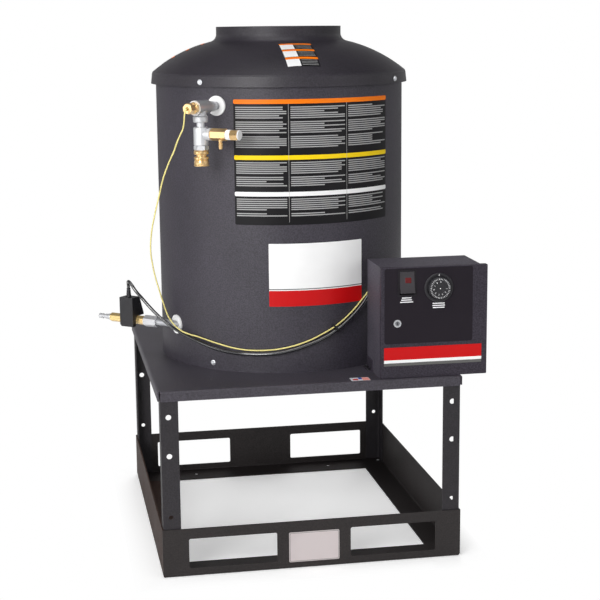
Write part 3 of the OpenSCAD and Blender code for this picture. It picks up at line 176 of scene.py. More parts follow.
def surface(name, colour, rough, metal=0.0, spread=0.08, grain=400, bump=0.1, depth=0.2,
            stretch=(1, 1, 1), edge_highlight=None, edge=0.5, coat=0.0, specular=0.5, speckle=0.0, rough_spread=0.08):
    """A material with colour and roughness that vary, a fine grain and, with edge_highlight, a painted
    highlight along the edges.
    """
    made = bpy.data.materials.new(name)
    made.use_nodes = True
    nodes, links = made.node_tree.nodes, made.node_tree.links
    shader = nodes["Principled BSDF"]
    shader.inputs["Metallic"].default_value = metal
    shader.inputs["Coat Weight"].default_value = coat
    shader.inputs["Specular IOR Level"].default_value = specular
    patches = noise(nodes, links, scale=9, detail=4)
    tone = ramp(nodes, links, patches, shade(colour, 1 - spread), shade(colour, 1 + spread))
    if edge_highlight:
        tone = worn_edges(nodes, links, tone, edge_highlight, edge)
    fine = noise(nodes, links, grain, detail=3, stretch=stretch)
    if speckle:
        tone = speckled(nodes, links, tone, fine, speckle)
    links.new(tone, shader.inputs["Base Color"])
    gloss = nodes.new("ShaderNodeMapRange")
    gloss.inputs["To Min"].default_value = max(0.02, rough - rough_spread)
    gloss.inputs["To Max"].default_value = min(1, rough + rough_spread)
    links.new(patches, gloss.inputs["Value"])
    links.new(gloss.outputs["Result"], shader.inputs["Roughness"])
    relief = nodes.new("ShaderNodeBump")
    relief.inputs["Strength"].default_value = bump
    relief.inputs["Distance"].default_value = depth * MM
    links.new(fine, relief.inputs["Height"])
    links.new(relief.outputs["Normal"], shader.inputs["Normal"])
    return made


def powder_coat(name, colour, rough=0.5, edge=0.8, specular=0.5):
    """Textured paint: a fine orange peel, with a painted highlight along the edges."""
    return surface(name, colour, rough, grain=330, bump=0.8, depth=0.7, edge_highlight=shade(colour, 2.2), edge=edge,
                   specular=specular, speckle=0.4)


def machined(name, colour, rough, metal=1.0):
    """Turned metal with fine lines around the part, and a painted highlight along its edges."""
    return surface(name, colour, rough, metal=metal, spread=0.12, grain=900, bump=0.12, depth=0.05,
                   stretch=(1, 1, 8), edge_highlight=shade(colour, 1.25), edge=0.4)


def printed(name, colour, rough=0.4, gloss=0.25):
    """A vinyl sticker's surface."""
    return surface(name, colour, rough, spread=0.03, grain=500, bump=0.03, depth=0.05, specular=gloss)


BASE_BLACK = srgb(40, 34, 34)
LEG_BLACK = srgb(41, 37, 42)
DRUM_BLACK = srgb(63, 59, 69)
BOX_BLACK = srgb(60, 55, 65)

# The finish of each material slot of the CAD nodes
FINISHES = {
    # The paints, the machined metals and the black plastics carry a painted highlight along their edges; the
    # box and the deck have a wider one
    "base_paint": powder_coat("base paint", BASE_BLACK, 0.55),
    "leg_paint": powder_coat("leg paint", LEG_BLACK, 0.55),
    "drum_paint": powder_coat("drum paint", DRUM_BLACK, 0.47),
    "box_paint": powder_coat("box paint", BOX_BLACK, 0.55, edge=1.8, specular=0.25),
    "fibre": surface("insulation", srgb(206, 196, 170), 0.95, spread=0.15, grain=260, bump=0.9, depth=1.2),
    "coil_steel": surface("coil steel", srgb(118, 112, 106), 0.45, metal=0.8, spread=0.25, grain=90,
                          bump=0.2, depth=0.2, rough_spread=0.15),
    "burner_iron": surface("burner iron", srgb(70, 66, 64), 0.7, metal=0.4, spread=0.25, grain=500,
                           bump=0.5, depth=0.3),
    "zinc_steel": machined("zinc steel", srgb(224, 225, 228), 0.42, metal=0.65),
    "brass": machined("brass", srgb(250, 208, 150), 0.28, metal=0.85),
    "white_plastic": surface("white plastic", srgb(247, 247, 247), 0.45, spread=0.02, bump=0.05, depth=0.1),
    # Painted highlight: a lighter grey along the edges of the black plastic and of the rocker
    "black_plastic": surface("black plastic", srgb(34, 33, 37), 0.5, grain=700, bump=0.2, depth=0.15,
                             edge_highlight=srgb(84, 84, 90), edge=1.0),
    "rocker_plastic": surface("rocker plastic", srgb(57, 54, 58), 0.38, spread=0.04, grain=700, bump=0.1,
                              depth=0.1, edge_highlight=srgb(90, 88, 94), edge=0.6),
    "lock_chrome": surface("lock chrome", srgb(226, 228, 232), 0.12, metal=1.0, spread=0.05, grain=300,
                           bump=0.03, depth=0.05, rough_spread=0.05),
    "cable_rubber": surface("cable rubber", srgb(24, 24, 28), 0.25, grain=500, bump=0.02, depth=0.05,
                            coat=1.0, specular=1.0, rough_spread=0.04),
    "capillary_plastic": surface("capillary plastic", srgb(240, 226, 142), 0.4, spread=0.05, grain=400,
                                 bump=0.1, depth=0.1),
}

# The nodes whose finish differs from that of their slot
NODE_FINISHES = {
    # Painted light: the left rail, the base's lit side, is a lighter and browner copy of the base paint
    "base_left_rail": powder_coat("side rail painted light", srgb(64, 45, 38), 0.6, specular=0.25),
    # Painted light: the box's body, its top and sides, is a lighter copy of the box paint because they catch
    # more light than the door
    "box_body": powder_coat("box body painted light", srgb(88, 84, 94), 0.6, edge=1.8, specular=0.2),
    "deck": powder_coat("deck paint", srgb(71, 67, 76), 0.5, edge=1.8),
    # Painted shade: the lid is a darker copy of the drum paint because its top gets less light than the
    # drum's side
    "drum_lid": powder_coat("lid painted shade", srgb(49, 45, 53), 0.47),
    "rocker_frame": surface("frame plastic", srgb(30, 27, 32), 0.6, grain=700, bump=0.2, depth=0.15,
                            specular=0.25),
    "outlet_tee": machined("tee steel", srgb(206, 207, 210), 0.42, metal=0.7),
    # Painted shade: the outlet pipe is a darker copy of the zinc steel, for the shade near its grommet and on
    # its underside
    "outlet_pipe": machined("outlet pipe painted shade", srgb(150, 151, 156), 0.4, metal=0.8),
    "inlet_pipe": machined("inlet pipe steel", srgb(190, 191, 195), 0.42, metal=0.7),
    "inlet_coupling": machined("coupling steel", srgb(218, 218, 221), 0.45, metal=0.6),
    "flow_body": machined("flow brass", srgb(255, 218, 152), 0.32, metal=0.75),
    "lock_cam": machined("lock plug", srgb(150, 152, 158), 0.3),
}

# Further looks, for the pieces that are made in this script
PRINTS = {
    "label black": printed("label black", srgb(18, 17, 20), 0.35),
    "label line": printed("label line", srgb(168, 168, 168), 0.5),
    "orange": printed("print orange", srgb(255, 126, 6)),
    "yellow": printed("print yellow", srgb(252, 214, 10)),
    "white": printed("print white", srgb(248, 248, 248)),
    "red": printed("print red", srgb(202, 10, 14)),
    "grey": printed("print grey", srgb(100, 100, 98)),
    "overlay": printed("overlay sheet", srgb(35, 30, 37), 0.5, 0.15),
    "plate": surface("rating plate", srgb(214, 204, 204), 0.35, metal=0.3, spread=0.05, grain=500, bump=0.05,
                     depth=0.05),
    "lens": surface("rocker lens", srgb(94, 6, 10), 0.25, spread=0.25, grain=900, bump=0.4, depth=0.3),
    "dial print": printed("dial print", srgb(250, 250, 252), 0.5),
    "screw": machined("zinc screw", srgb(232, 234, 238), 0.35, metal=0.7),
    "dark screw": machined("black screw", srgb(74, 72, 76), 0.45),
    "painted": FINISHES["drum_paint"],
    "tie": surface("cable tie", srgb(30, 30, 32), 0.45, spread=0.05, grain=900, bump=0.2, depth=0.1),
    "pink": printed("print pink", srgb(250, 160, 150)),
    "blue": printed("print blue", srgb(20, 70, 180)),
    "foil": surface("sticker foil", srgb(226, 228, 234), 0.35, spread=0.04, grain=400, bump=0.05, depth=0.05),
}


# ---- Helpers ----

def piece(name, mesh_or_bmesh, look, body):
    """Makes an object of a mesh, paints it and lets it ride on a body."""
    mesh = mesh_or_bmesh
    if isinstance(mesh_or_bmesh, bmesh.types.BMesh):
        mesh = bpy.data.meshes.new(name)
        mesh_or_bmesh.to_mesh(mesh)
        mesh_or_bmesh.free()
    made = bpy.data.objects.new(name, mesh)
    bpy.context.collection.objects.link(made)
    mesh.materials.append(look)
    mesh.shade_smooth()
    mesh.set_sharp_from_angle(angle=math.radians(PIECE_CREASE))
    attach(made, body)
    return made


def grid(points, rows, columns, closed=False):
    """A sheet of faces over rows × columns points."""
    made = bmesh.new()
    corners = [made.verts.new(p) for p in points]
    for r in range(rows - 1):
        for c in range(columns if closed else columns - 1):
            d = (c + 1) % columns
            made.faces.new([corners[r * columns + c], corners[r * columns + d],
                            corners[(r + 1) * columns + d], corners[(r + 1) * columns + c]])
    return made


def thicken(made, depth):
    """Gives a sheet a thickness below its face."""
    made.normal_update()
    sheet = made.faces[:]
    rim = [edge for edge in made.edges if edge.is_boundary]
    below = {v: made.verts.new(v.co - v.normal * depth * v.calc_shell_factor()) for v in made.verts[:]}
    for face in sheet:
        made.faces.new([below[v] for v in face.verts])
    for edge in rim:
        a, b = edge.verts
        made.faces.new((a, b, below[b], below[a]))
    bmesh.ops.recalc_face_normals(made, faces=made.faces)
    return made


def on_drum(angle, z, lift=STICKER, radius=DRUM_R):
    """A point on the drum: the angle in degrees round from the front, positive to the right."""
    a = math.radians(angle)
    r = radius + lift
    return (r * math.sin(a), DRUM_Y - r * math.cos(a), z)


def drum_patch(left, right, low, high, lift, steps=None):
    """A sheet bent round the drum between two angles and two heights in millimetres."""
    angle_step = 1.5
    steps = steps or max(2, round(abs(right - left) / angle_step))
    angles = [left + (right - left) * i / steps for i in range(steps + 1)]
    return grid([on_drum(a, z * MM, lift) for z in (low, high) for a in angles], 2, steps + 1)


def off_drum(at):
    """The direction straight away from the drum's axis at a point."""
    return Vector(at) - Vector((0, DRUM_Y, at[2]))


def join(parts):
    """One bmesh of several."""
    whole = bmesh.new()
    for part in parts:
        mesh = bpy.data.meshes.new("part")
        part.to_mesh(mesh)
        part.free()
        whole.from_mesh(mesh)
        bpy.data.meshes.remove(mesh)
    return whole


def block(size, edge=0.0, segments=2):
    """A block round the origin with turned edges, in metres."""
    made = bmesh.new()
    bmesh.ops.create_cube(made, size=1)
    bmesh.ops.scale(made, vec=size, verts=made.verts)
    if edge:
        bmesh.ops.bevel(made, geom=made.edges[:], offset=edge, segments=segments, affect="EDGES")
    return made


def lathe(profile, at, axis, steps=32):
    """A turned piece: (radius, height) points in millimetres round an axis, closed at both ends."""
    least_r = 0.01
    turn = Vector(axis).to_track_quat("Z", "Y").to_matrix().to_4x4()
    place = Matrix.Translation(at) @ turn
    points = []
    for radius, height in profile:
        r = max(radius, least_r) * MM
        for i in range(steps):
            a = 2 * math.pi * i / steps
            points.append(place @ Vector((r * math.cos(a), r * math.sin(a), height * MM)))
    made = grid(points, len(profile), steps, closed=True)
    made.verts.ensure_lookup_table()
    made.faces.new(made.verts[:steps][::-1])
    made.faces.new(made.verts[-steps:])
    return made


def round_rect(x0, x1, z0, z1, radius, steps=6):
    """The outline of a rectangle with round corners, in millimetres."""
    corners = [(x1 - radius, z1 - radius, 0), (x0 + radius, z1 - radius, 90),
               (x0 + radius, z0 + radius, 180), (x1 - radius, z0 + radius, 270)]
    return [(cx + radius * math.cos(math.radians(a + 90 * i / steps)),
             cz + radius * math.sin(math.radians(a + 90 * i / steps)))
            for cx, cz, a in corners for i in range(steps + 1)]


def circle(x, z, radius, steps=48):
    """The outline of a circle, in millimetres."""
    return [(x + radius * math.cos(2 * math.pi * i / steps), z + radius * math.sin(2 * math.pi * i / steps))
            for i in range(steps)]


def front_sheet(outlines, front):
    """Flat sheets that face the front: outlines in millimetres, and one inside another is a hole."""
    data = bpy.data.curves.new("sheet", "CURVE")
    data.dimensions = "2D"
    data.fill_mode = "BOTH"
    for outline in outlines:
        line = data.splines.new("POLY")
        line.points.add(len(outline) - 1)
        line.use_cyclic_u = True
        for knot, (x, z) in zip(line.points, outline):
            knot.co = (x * MM, z * MM, 0, 1)
    flat = bpy.data.objects.new("sheet", data)
    mesh = bpy.data.meshes.new_from_object(flat)
    bpy.data.objects.remove(flat)
    bpy.data.curves.remove(data)
    mesh.transform(Matrix.Translation((0, front, 0)) @ Matrix.Rotation(math.radians(90), 4, "X"))
    return mesh


def front_plate(outline, front, depth):
    """A flat plate that faces the front: outline in millimetres, front face and depth in metres."""
    made = bmesh.new()
    near, far = ([made.verts.new((x * MM, y, z * MM)) for x, z in outline] for y in (front, front + depth))
    made.faces.new(near)
    made.faces.new(far)
    for i in range(len(outline)):
        made.faces.new((near[i - 1], near[i], far[i], far[i - 1]))
    bmesh.ops.recalc_face_normals(made, faces=made.faces)
    return made


def curve_piece(name, route, diameter, look):
    """A round cord along points in millimetres, smooth between them, its diameter in metres."""
    data = bpy.data.curves.new(name, "CURVE")
    data.dimensions = "3D"
    data.bevel_depth = diameter / 2
    data.bevel_resolution = 5
    data.resolution_u = 6
    data.use_fill_caps = True
    line = data.splines.new("BEZIER")
    line.bezier_points.add(len(route) - 1)
    for knot, at in zip(line.bezier_points, route):
        knot.co = Vector(at) * MM
        knot.handle_left_type = "AUTO"
        knot.handle_right_type = "AUTO"
    made = bpy.data.objects.new(name, data)
    bpy.context.collection.objects.link(made)
    data.materials.append(look)
    return made


# ---- Cords ----

CABLE_ROUTE = [
    (-365, -25, 576), (-365, -25, 583), (-366, -30, 590), (-365, -40, 594), (-360, -50, 589),
    (-351, -59, 575), (-337, -65, 558), (-322, -74, 540), (-303, -88, 520), (-281, -106, 502),
    (-261, -131, 491), (-241, -157, 483), (-222, -182, 476), (-200, -206, 469), (-177, -224, 463),
    (-154, -239, 460), (-132, -252, 459), (-101, -265, 459), (-70, -275, 461), (-42, -280, 465),
    (9, -283, 479), (41, -281, 491), (72, -274, 506), (108, -262, 530), (139, -248, 558),
    (151, -239, 571), (164, -232, 584), (176, -227, 593), (188, -229, 599), (195, -237, 600),
    (196, -245, 600), (196, -250, 600),
]
CAPILLARY_ROUTE = [
    (-239, -296, 1002), (-250, -310, 1002), (-254, -315, 999), (-256, -316, 990), (-257, -313, 976),
    (-259, -306, 961), (-265, -298, 946), (-271, -290, 930), (-276, -280, 913), (-283, -269, 895),
    (-290, -258, 876), (-298, -245, 850), (-306, -230, 813), (-315, -215, 771), (-322, -200, 730),
    (-324, -185, 686), (-320, -174, 655), (-314, -165, 625), (-305, -155, 592), (-296, -145, 561),
    (-280, -136, 519), (-260, -144, 497), (-243, -158, 490), (-224, -173, 486), (-186, -210, 477),
    (-139, -242, 468), (-91, -263, 467), (-41, -275, 473), (10, -278, 487), (41, -275, 500),
    (72, -269, 515), (110, -256, 541), (142, -240, 570), (152, -235, 580), (163, -229, 593),
    (174, -225, 605), (184, -228, 614), (188, -235, 618), (189, -245, 619), (189, -250, 619),
]
CABLE_D = 7.5 * MM
CAPILLARY_D = 3.2 * MM


def cable_tie(name, at, along, half_w, half_h, tilt):
    """A flat band round both cords, with its lock and a short tail, in millimetres."""
    width, depth = 3.6, 1.2
    lock_size, lock_edge, lock_out = (5, 4.4, 5.6), 0.7, 2
    tail_size, tail_aside, tail_out = (9, 1, 3), 6, 2.2
    ring = 28
    turn = Vector(along).normalized().to_track_quat("Z", "Y").to_matrix().to_4x4()
    place = Matrix.Translation(Vector(at) * MM) @ turn @ Matrix.Rotation(math.radians(tilt), 4, "Z")
    points = []
    for out, side in ((0, -1), (depth, -1), (depth, 1), (0, 1)):
        for i in range(ring):
            a = 2 * math.pi * i / ring
            corner = Vector(((half_w + out) * math.cos(a), (half_h + out) * math.sin(a), side * width / 2))
            points.append(place @ (corner * MM))
    band = grid(points + points[:ring], 5, ring, closed=True)
    bmesh.ops.remove_doubles(band, verts=band.verts, dist=1e-6)
    lock = block(Vector(lock_size) * MM, lock_edge * MM)
    lock.transform(place @ Matrix.Translation((0, (half_h + lock_out) * MM, 0)))
    tail = block(Vector(tail_size) * MM)
    tail.transform(place @ Matrix.Translation((tail_aside * MM, (half_h + tail_out) * MM, 0)))
    return piece(name, join([band, lock, tail]), PRINTS["tie"], "stand")


def make_cords():
    """The cable of the flow switch and the capillary, tied together in front of the drum."""
    cable = curve_piece("cable", CABLE_ROUTE, CABLE_D, FINISHES["cable_rubber"])
    capillary = curve_piece("capillary_line", CAPILLARY_ROUTE, CAPILLARY_D, FINISHES["capillary_plastic"])
    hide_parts("switch_cable")
    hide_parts("capillary")
    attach(cable, "stand")
    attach(capillary, "stand")
    tie = cable_tie("cable_tie_front", at=(73, -271.5, 511), along=(33, 11, 25),
                    half_w=9.6, half_h=6.2, tilt=60)


# ---- CAD nodes ----

def paint_nodes():
    """Every CAD node gets its own finish or that of its slot, and smooth shading up to its real edges."""
    for part in frame["record"]["subparts"]:
        node = frame["nodes"][part["node"]]
        node.data.materials.clear()
        node.data.materials.append(NODE_FINISHES.get(part["node"], FINISHES[part["material_slot"]]))
        node.data.shade_smooth()
        node.data.set_sharp_from_angle(angle=math.radians(NODE_CREASE))


# ---- Labels ----

def bend_on_drum(mesh, lift):
    """Cuts a flat sheet into strips and bends it round the drum: x as arc length, z as height."""
    made = bmesh.new()
    made.from_mesh(mesh)
    bpy.data.meshes.remove(mesh)
    strip = 6 * MM
    low = min(v.co.x for v in made.verts)
    high = max(v.co.x for v in made.verts)
    for i in range(1, math.ceil((high - low) / strip)):
        bmesh.ops.bisect_plane(made, geom=made.verts[:] + made.edges[:] + made.faces[:],
                               plane_co=(low + i * strip, 0, 0), plane_no=(1, 0, 0))
    for v in made.verts:
        v.co = on_drum(math.degrees(v.co.x / DRUM_R), v.co.z, lift)
    bmesh.ops.recalc_face_normals(made, faces=made.faces)
    return made


def arc_mm(angle):
    """The arc length on the drum for an angle in degrees."""
    return math.radians(angle) * DRUM_R / MM


def label_lines(columns, top, bottom, lift, seed):
    """Plain grey lines in columns on the drum, some short, none with lettering."""
    step, height = 4.5, 2.3
    paragraph = 7
    shares = (1, 1, 1, 0.93, 0.86, 0.6)
    chance = random.Random(seed)
    made = []
    for left, right in columns:
        for row in range(int((top - bottom) / step)):
            if row % paragraph == paragraph - 1:
                continue
            z = top - row * step
            end = left + (right - left) * chance.choice(shares)
            made.append(drum_patch(left, end, z - height, z, lift))
    return join(made)


def make_drum_label():
    """A black sheet with three bars and three columns of plain lines."""
    left, right = -30.0, 46.5
    low, high = 745.0, 1016.0
    dividers = (-5.8, 21.1)
    margin = 0.9
    rule_half, rule_foot = 0.08, 6
    sheet_lift, print_lift = 0.7 * STICKER, 1.2 * STICKER
    bar = 9.6
    bars = {"orange": high - bar, "yellow": 886.6, "white": 807.6}
    above_lines, below_lines = (6, 5, 5), (9, 6, 14)
    sheet_corner_r, bar_corner_r = 4, 3
    outline = round_rect(arc_mm(left), arc_mm(right), low, high, sheet_corner_r)
    sheet = bend_on_drum(front_sheet([outline], 0), sheet_lift)
    piece("drum_label", sheet, PRINTS["label black"], "stand")
    for colour, bottom in bars.items():
        outline = round_rect(arc_mm(left), arc_mm(right), bottom, bottom + bar, bar_corner_r)
        strip = bend_on_drum(front_sheet([outline], 0), print_lift)
        piece(f"drum_label_bar_{colour}", strip, PRINTS[colour], "stand")
    edges = [left, *dividers, right]
    columns = [(a + margin, b - margin) for a, b in zip(edges, edges[1:])]
    tops = [z - gap for z, gap in zip(bars.values(), above_lines)]
    feet = (bars["yellow"] + bar, bars["white"] + bar, low)
    ends = [z + gap for z, gap in zip(feet, below_lines)]
    for number, (top, end) in enumerate(zip(tops, ends)):
        lines = label_lines(columns, top, end, print_lift, number)
        piece(f"drum_label_lines_{number}", lines, PRINTS["label line"], "stand")
    rules = [drum_patch(a - rule_half, a + rule_half, low + rule_foot, high - bar, print_lift, 2)
             for a in dividers]
    piece("drum_label_rules", join(rules), PRINTS["label line"], "stand")


def make_drum_sign():
    """A bare white sign with a red foot and a thin rule above it."""
    left, right = -15.1, 29.2
    low, high = 565.0, 704.0
    foot = 600.0
    rule = 2.0
    corner_r = 1.5
    print_lift = 1.4 * STICKER
    outline = round_rect(arc_mm(left), arc_mm(right), low, high, corner_r)
    sheet = bend_on_drum(front_sheet([outline], 0), STICKER)
    piece("drum_sign", sheet, PRINTS["white"], "stand")
    red = drum_patch(left, right, low, foot, print_lift)
    piece("drum_sign_foot", red, PRINTS["red"], "stand")
    line = drum_patch(left, right, foot + rule, foot + 2 * rule, print_lift)
    piece("drum_sign_rule", line, PRINTS["grey"], "stand")


def on_dome(direction, across, slope):
    """A point on the dome: direction and slope in degrees, and millimetres to the right of the direction."""
    a, phi = math.radians(direction), math.radians(slope)
    along = DOME_CENTRE_R + DOME_ARC_R * math.sin(phi)
    r = math.hypot(along, across)
    lifted = DOME_ARC_R + STICKER / MM
    rise = math.sqrt(lifted ** 2 - (r - DOME_CENTRE_R) ** 2)
    x = along * math.sin(a) + across * math.cos(a)
    y = -along * math.cos(a) + across * math.sin(a)
    return (x * MM, DRUM_Y + y * MM, (DOME_CENTRE_Z + rise) * MM)


def dome_patch(direction, left, right, top, bottom, lift=0.0, rows=4):
    """A sheet on the dome between two offsets and two slopes, raised by a further lift in metres."""
    columns = 6
    points = []
    for r in range(rows + 1):
        slope = top + (bottom - top) * r / rows
        for c in range(columns + 1):
            points.append(Vector(on_dome(direction, left + (right - left) * c / columns, slope)))
    if lift:
        heart = Vector((0, DRUM_Y, DOME_CENTRE_Z * MM))
        points = [at + (at - heart).normalized() * lift for at in points]
    return grid(points, rows + 1, columns + 1)


def make_lid_label(name, direction):
    """A black sheet with three orange bars, each above a white field and plain lines."""
    left, right = -36.0, 36.0
    top, bottom = 15.9, 34.6
    parts, rows = 3, 4
    bar_share, gap = 0.23, 0.25
    field_right, gutter = -6.0, 3.0
    line_height = 0.25
    rows_before, rows_spare = 0.6, 0.5
    lift = 0.5 * STICKER
    sheet = dome_patch(direction, left, right, top, bottom, rows=12)
    piece(f"{name}_sheet", sheet, PRINTS["label black"], "stand")
    step = (bottom - top) / parts
    bars, fields, lines = [], [], []
    for i in range(parts):
        start = top + i * step
        split = start + bar_share * step
        end = start + step - gap
        bars.append(dome_patch(direction, left, right, start, split, lift))
        fields.append(dome_patch(direction, left, field_right, split, end, lift))
        for row in range(rows):
            low = split + (row + rows_before) * (end - split) / (rows + rows_spare)
            lines.append(dome_patch(direction, field_right + gutter, right - gutter, low, low + line_height,
                                    lift, rows=1))
    piece(f"{name}_bars", join(bars), PRINTS["orange"], "stand")
    piece(f"{name}_fields", join(fields), PRINTS["white"], "stand")
    piece(f"{name}_lines", join(lines), PRINTS["label line"], "stand")


def deck_field(name, look, x0, x1, y0, y1, lift):
    """A flat rectangle on the deck, in millimetres."""
    made = bmesh.new()
    corners = ((x0, y0), (x1, y0), (x1, y1), (x0, y1))
    made.faces.new([made.verts.new((x * MM, y * MM, DECK_TOP + lift)) for x, y in corners])
    piece(name, made, PRINTS[look], "stand")


def make_deck_sticker():
    """A small light sticker near the deck's front edge with three plain fields."""
    left, right, front, back = 86.0, 128.0, -376.0, -348.0
    inset = 5.0
    middle = (left + right) / 2
    print_lift = 1.5 * STICKER
    deck_field("deck_sticker", "foil", left, right, front, back, STICKER)
    deck_field("deck_sticker_red", "red", left + inset, middle - inset, front + inset, back - 2 * inset,
               print_lift)
    deck_field("deck_sticker_pink", "pink", middle + inset, right - 1, front + 2, back - 2, print_lift)
    deck_field("deck_sticker_blue", "blue", middle - inset / 2, middle + inset, back - 3 * inset,
               back - inset / 2, 2 * STICKER)


def make_rating_plate():
    """A bare metal plate with a border line on the front of the base."""
    x0, x1, z0, z1 = -56.0, 56.0, 15.0, 83.0
    radius, border = 3.0, 1.6
    lift, thickness, line_lift = 0.8 * MM, 0.75 * MM, 0.9 * MM
    front = BASE_LOW[1]
    plate = front_plate(round_rect(x0, x1, z0, z1, radius), front - lift, thickness)
    piece("rating_plate", plate, PRINTS["plate"], "stand")
    outlines = [round_rect(x0 + inset, x1 - inset, z0 + inset, z1 - inset, radius - 1)
                for inset in (border, 1.5 * border)]
    rim_sheet = front_sheet(outlines, front - line_lift)
    piece("rating_plate_rim", rim_sheet, PRINTS["grey"], "stand")


# ---- Box front ----

def make_door_print():
    """The dark sheet behind the controls, plain bars in place of words, and three stripes below."""
    sheet_x0, sheet_x1, sheet_z0, sheet_z1, sheet_corner_r = 159, 356, 491.6, 656.5, 5
    low, high = (Vector(v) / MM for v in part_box("rocker_frame"))
    under, hole_corner_r = 1, 1.5
    outline = round_rect(sheet_x0, sheet_x1, sheet_z0, sheet_z1, sheet_corner_r)
    holes = [round_rect(low.x + under, high.x - under, low.z + under, high.z - under, hole_corner_r),
             circle(DIAL_X, DIAL_Z, BEZEL_R - 2 * under),
             circle(LOCK_X, LOCK_Z, LOCK_R - 1.5 * under)]
    sheet = front_sheet([outline, *holes], DOOR_FRONT - STICKER)
    piece("door_sheet", sheet, PRINTS["overlay"], "door")
    pitch, half, bar_corner_r = 4.6, 1.1, 0.3
    below_switch = (SWITCH_X, low.z - 3, (21, 24, 29))
    below_dial = (DIAL_X, 577.4, (27, 28, 26))
    bars = []
    for centre, top, widths in (below_switch, below_dial):
        for row, width in enumerate(widths):
            z = top - row * pitch
            left, right = centre - width / 2, centre + width / 2
            bars.append(round_rect(left, right, z - half, z + half, bar_corner_r, 2))
    words = front_sheet(bars, DOOR_FRONT - 1.5 * STICKER)
    piece("door_print_bars", words, PRINTS["dial print"], "door")
    left, right = 158, 377
    stripes = (("red", 455.5, 483.5), ("white", 449.0, 455.5), ("grey", 442.5, 449.0))
    for colour, z0, z1 in stripes:
        stripe = front_sheet([[(left, z0), (right, z0), (right, z1), (left, z1)]], DOOR_FRONT - STICKER)
        piece(f"door_stripe_{colour}", stripe, PRINTS[colour], "door")


def make_rocker_lens():
    """The red window in the upper half of the rocker, laid where a ray from the front meets its face."""
    rocker = frame["nodes"]["rocker"]
    x0, x1, z0, z1 = 204.5, 218.0, 624.5, 636.5
    thickness, edge = 1.6 * MM, 0.6 * MM
    ray_y = -0.5
    ray_start = Vector(((x0 + x1) / 2 * MM, ray_y, (z0 + z1) / 2 * MM))
    inverse = rocker.matrix_world.inverted()
    _, at, normal, _ = rocker.ray_cast(inverse @ ray_start, inverse.to_3x3() @ Vector((0, 1, 0)))
    lens = block(((x1 - x0) * MM, (z1 - z0) * MM, thickness), edge, 3)
    turn = (rocker.matrix_world.to_3x3() @ normal).to_track_quat("Z", "Y").to_matrix().to_4x4()
    lens.transform(Matrix.Translation(rocker.matrix_world @ at) @ turn)
    piece("rocker_lens", lens, PRINTS["lens"], "rocker_switch")


def radial_bar(angle, inner_r, outer_r, width):
    """A small bar on the dial's face, its angle in degrees counter-clockwise from the right."""
    out = Vector((math.cos(math.radians(angle)), math.sin(math.radians(angle))))
    side = Vector((-out.y, out.x)) * width / 2
    corners = (out * inner_r - side, out * outer_r - side, out * outer_r + side, out * inner_r + side)
    return [(DIAL_X + c.x, DIAL_Z + c.y) for c in corners]


def number_mesh(value, size):
    """A flat number round the origin, its height in metres."""
    number = bpy.data.curves.new("number", "FONT")
    number.body = str(value)
    number.size = size
    number.align_x = "CENTER"
    number.align_y = "CENTER"
    flat = bpy.data.objects.new("number", number)
    mesh = bpy.data.meshes.new_from_object(flat)
    bpy.data.objects.remove(flat)
    return mesh


def make_dial_print():
    """The mark on the bezel, the ticks of the dial, its plain numbers and the dot in the middle."""
    first, sweep = 87.0, 270.0
    mark_in, mark_out, mark_w = BEZEL_R - 6.5, BEZEL_R - 2.3, 1.5
    ticks, tick_in, tick_out, tick_w = 36, 18.8, 22.2, 0.8
    numbers, number_r, number_size = 9, 14.4, 5 * MM
    dot = [(1.1, 0), (1.1, 0.3), (0.7, 0.5)]
    look = PRINTS["dial print"]
    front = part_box("thermostat_dial")[0][1]
    bezel_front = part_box("thermostat_bezel")[0][1]
    mark = front_sheet([radial_bar(90, mark_in, mark_out, mark_w)], bezel_front - INK)
    piece("bezel_mark", mark, look, "door")
    bars = [radial_bar(first + 360 * i / ticks, tick_in, tick_out, tick_w) for i in range(ticks)]
    piece("dial_ticks", front_sheet(bars, front - INK), look, "dial")
    for i in range(numbers):
        angle = math.radians(first + sweep * i / (numbers - 1))
        x = DIAL_X + number_r * math.cos(angle)
        z = DIAL_Z + number_r * math.sin(angle)
        mesh = number_mesh(numbers - i, number_size)
        turn = Matrix.Rotation(math.radians(90), 4, "X") @ Matrix.Rotation(angle + math.radians(90), 4, "Z")
        mesh.transform(Matrix.Translation((x * MM, front - INK, z * MM)) @ turn)
        piece(f"dial_number_{numbers - i}", mesh, look, "dial")
    middle = lathe(dot, (DIAL_X * MM, front, DIAL_Z * MM), (0, -1, 0), 20)
    piece("dial_centre_dot", middle, look, "dial")


def make_key_slot():
    """A dark plate on the lock's plug: painted shade in place of the key slot's hollow."""
    half_w, half_h, corner_r = 0.8, 3.3, 0.7
    out, thickness = 0.15 * MM, 0.3 * MM
    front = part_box("lock_cam")[0][1]
    outline = round_rect(LOCK_X - half_w, LOCK_X + half_w, LOCK_Z - half_h, LOCK_Z + half_h, corner_r, 3)
    slot = front_plate(outline, front - out, thickness)
    piece("key_slot_shade", slot, PRINTS["dark screw"], "lock")


# ---- Screws, seam and thread ----

def hex_screw(name, at, outward, washer_r=6.0, flats_r=4.4, height=4.0, look="screw"):
    """A hexagon head on its washer, at a point in metres."""
    edge, washer_top, head_foot = 0.9, 1.4, 1.3
    chamfer, crown = 0.7, 0.2
    washer = [(washer_r, 0), (washer_r, edge), (washer_r - edge, washer_top)]
    head = [(flats_r, head_foot), (flats_r, height - chamfer), (flats_r - edge, height),
            (0.5, height + crown)]
    both = join([lathe(washer, at, outward, 28), lathe(head, at, outward, 6)])
    piece(name, both, PRINTS[look], "stand")


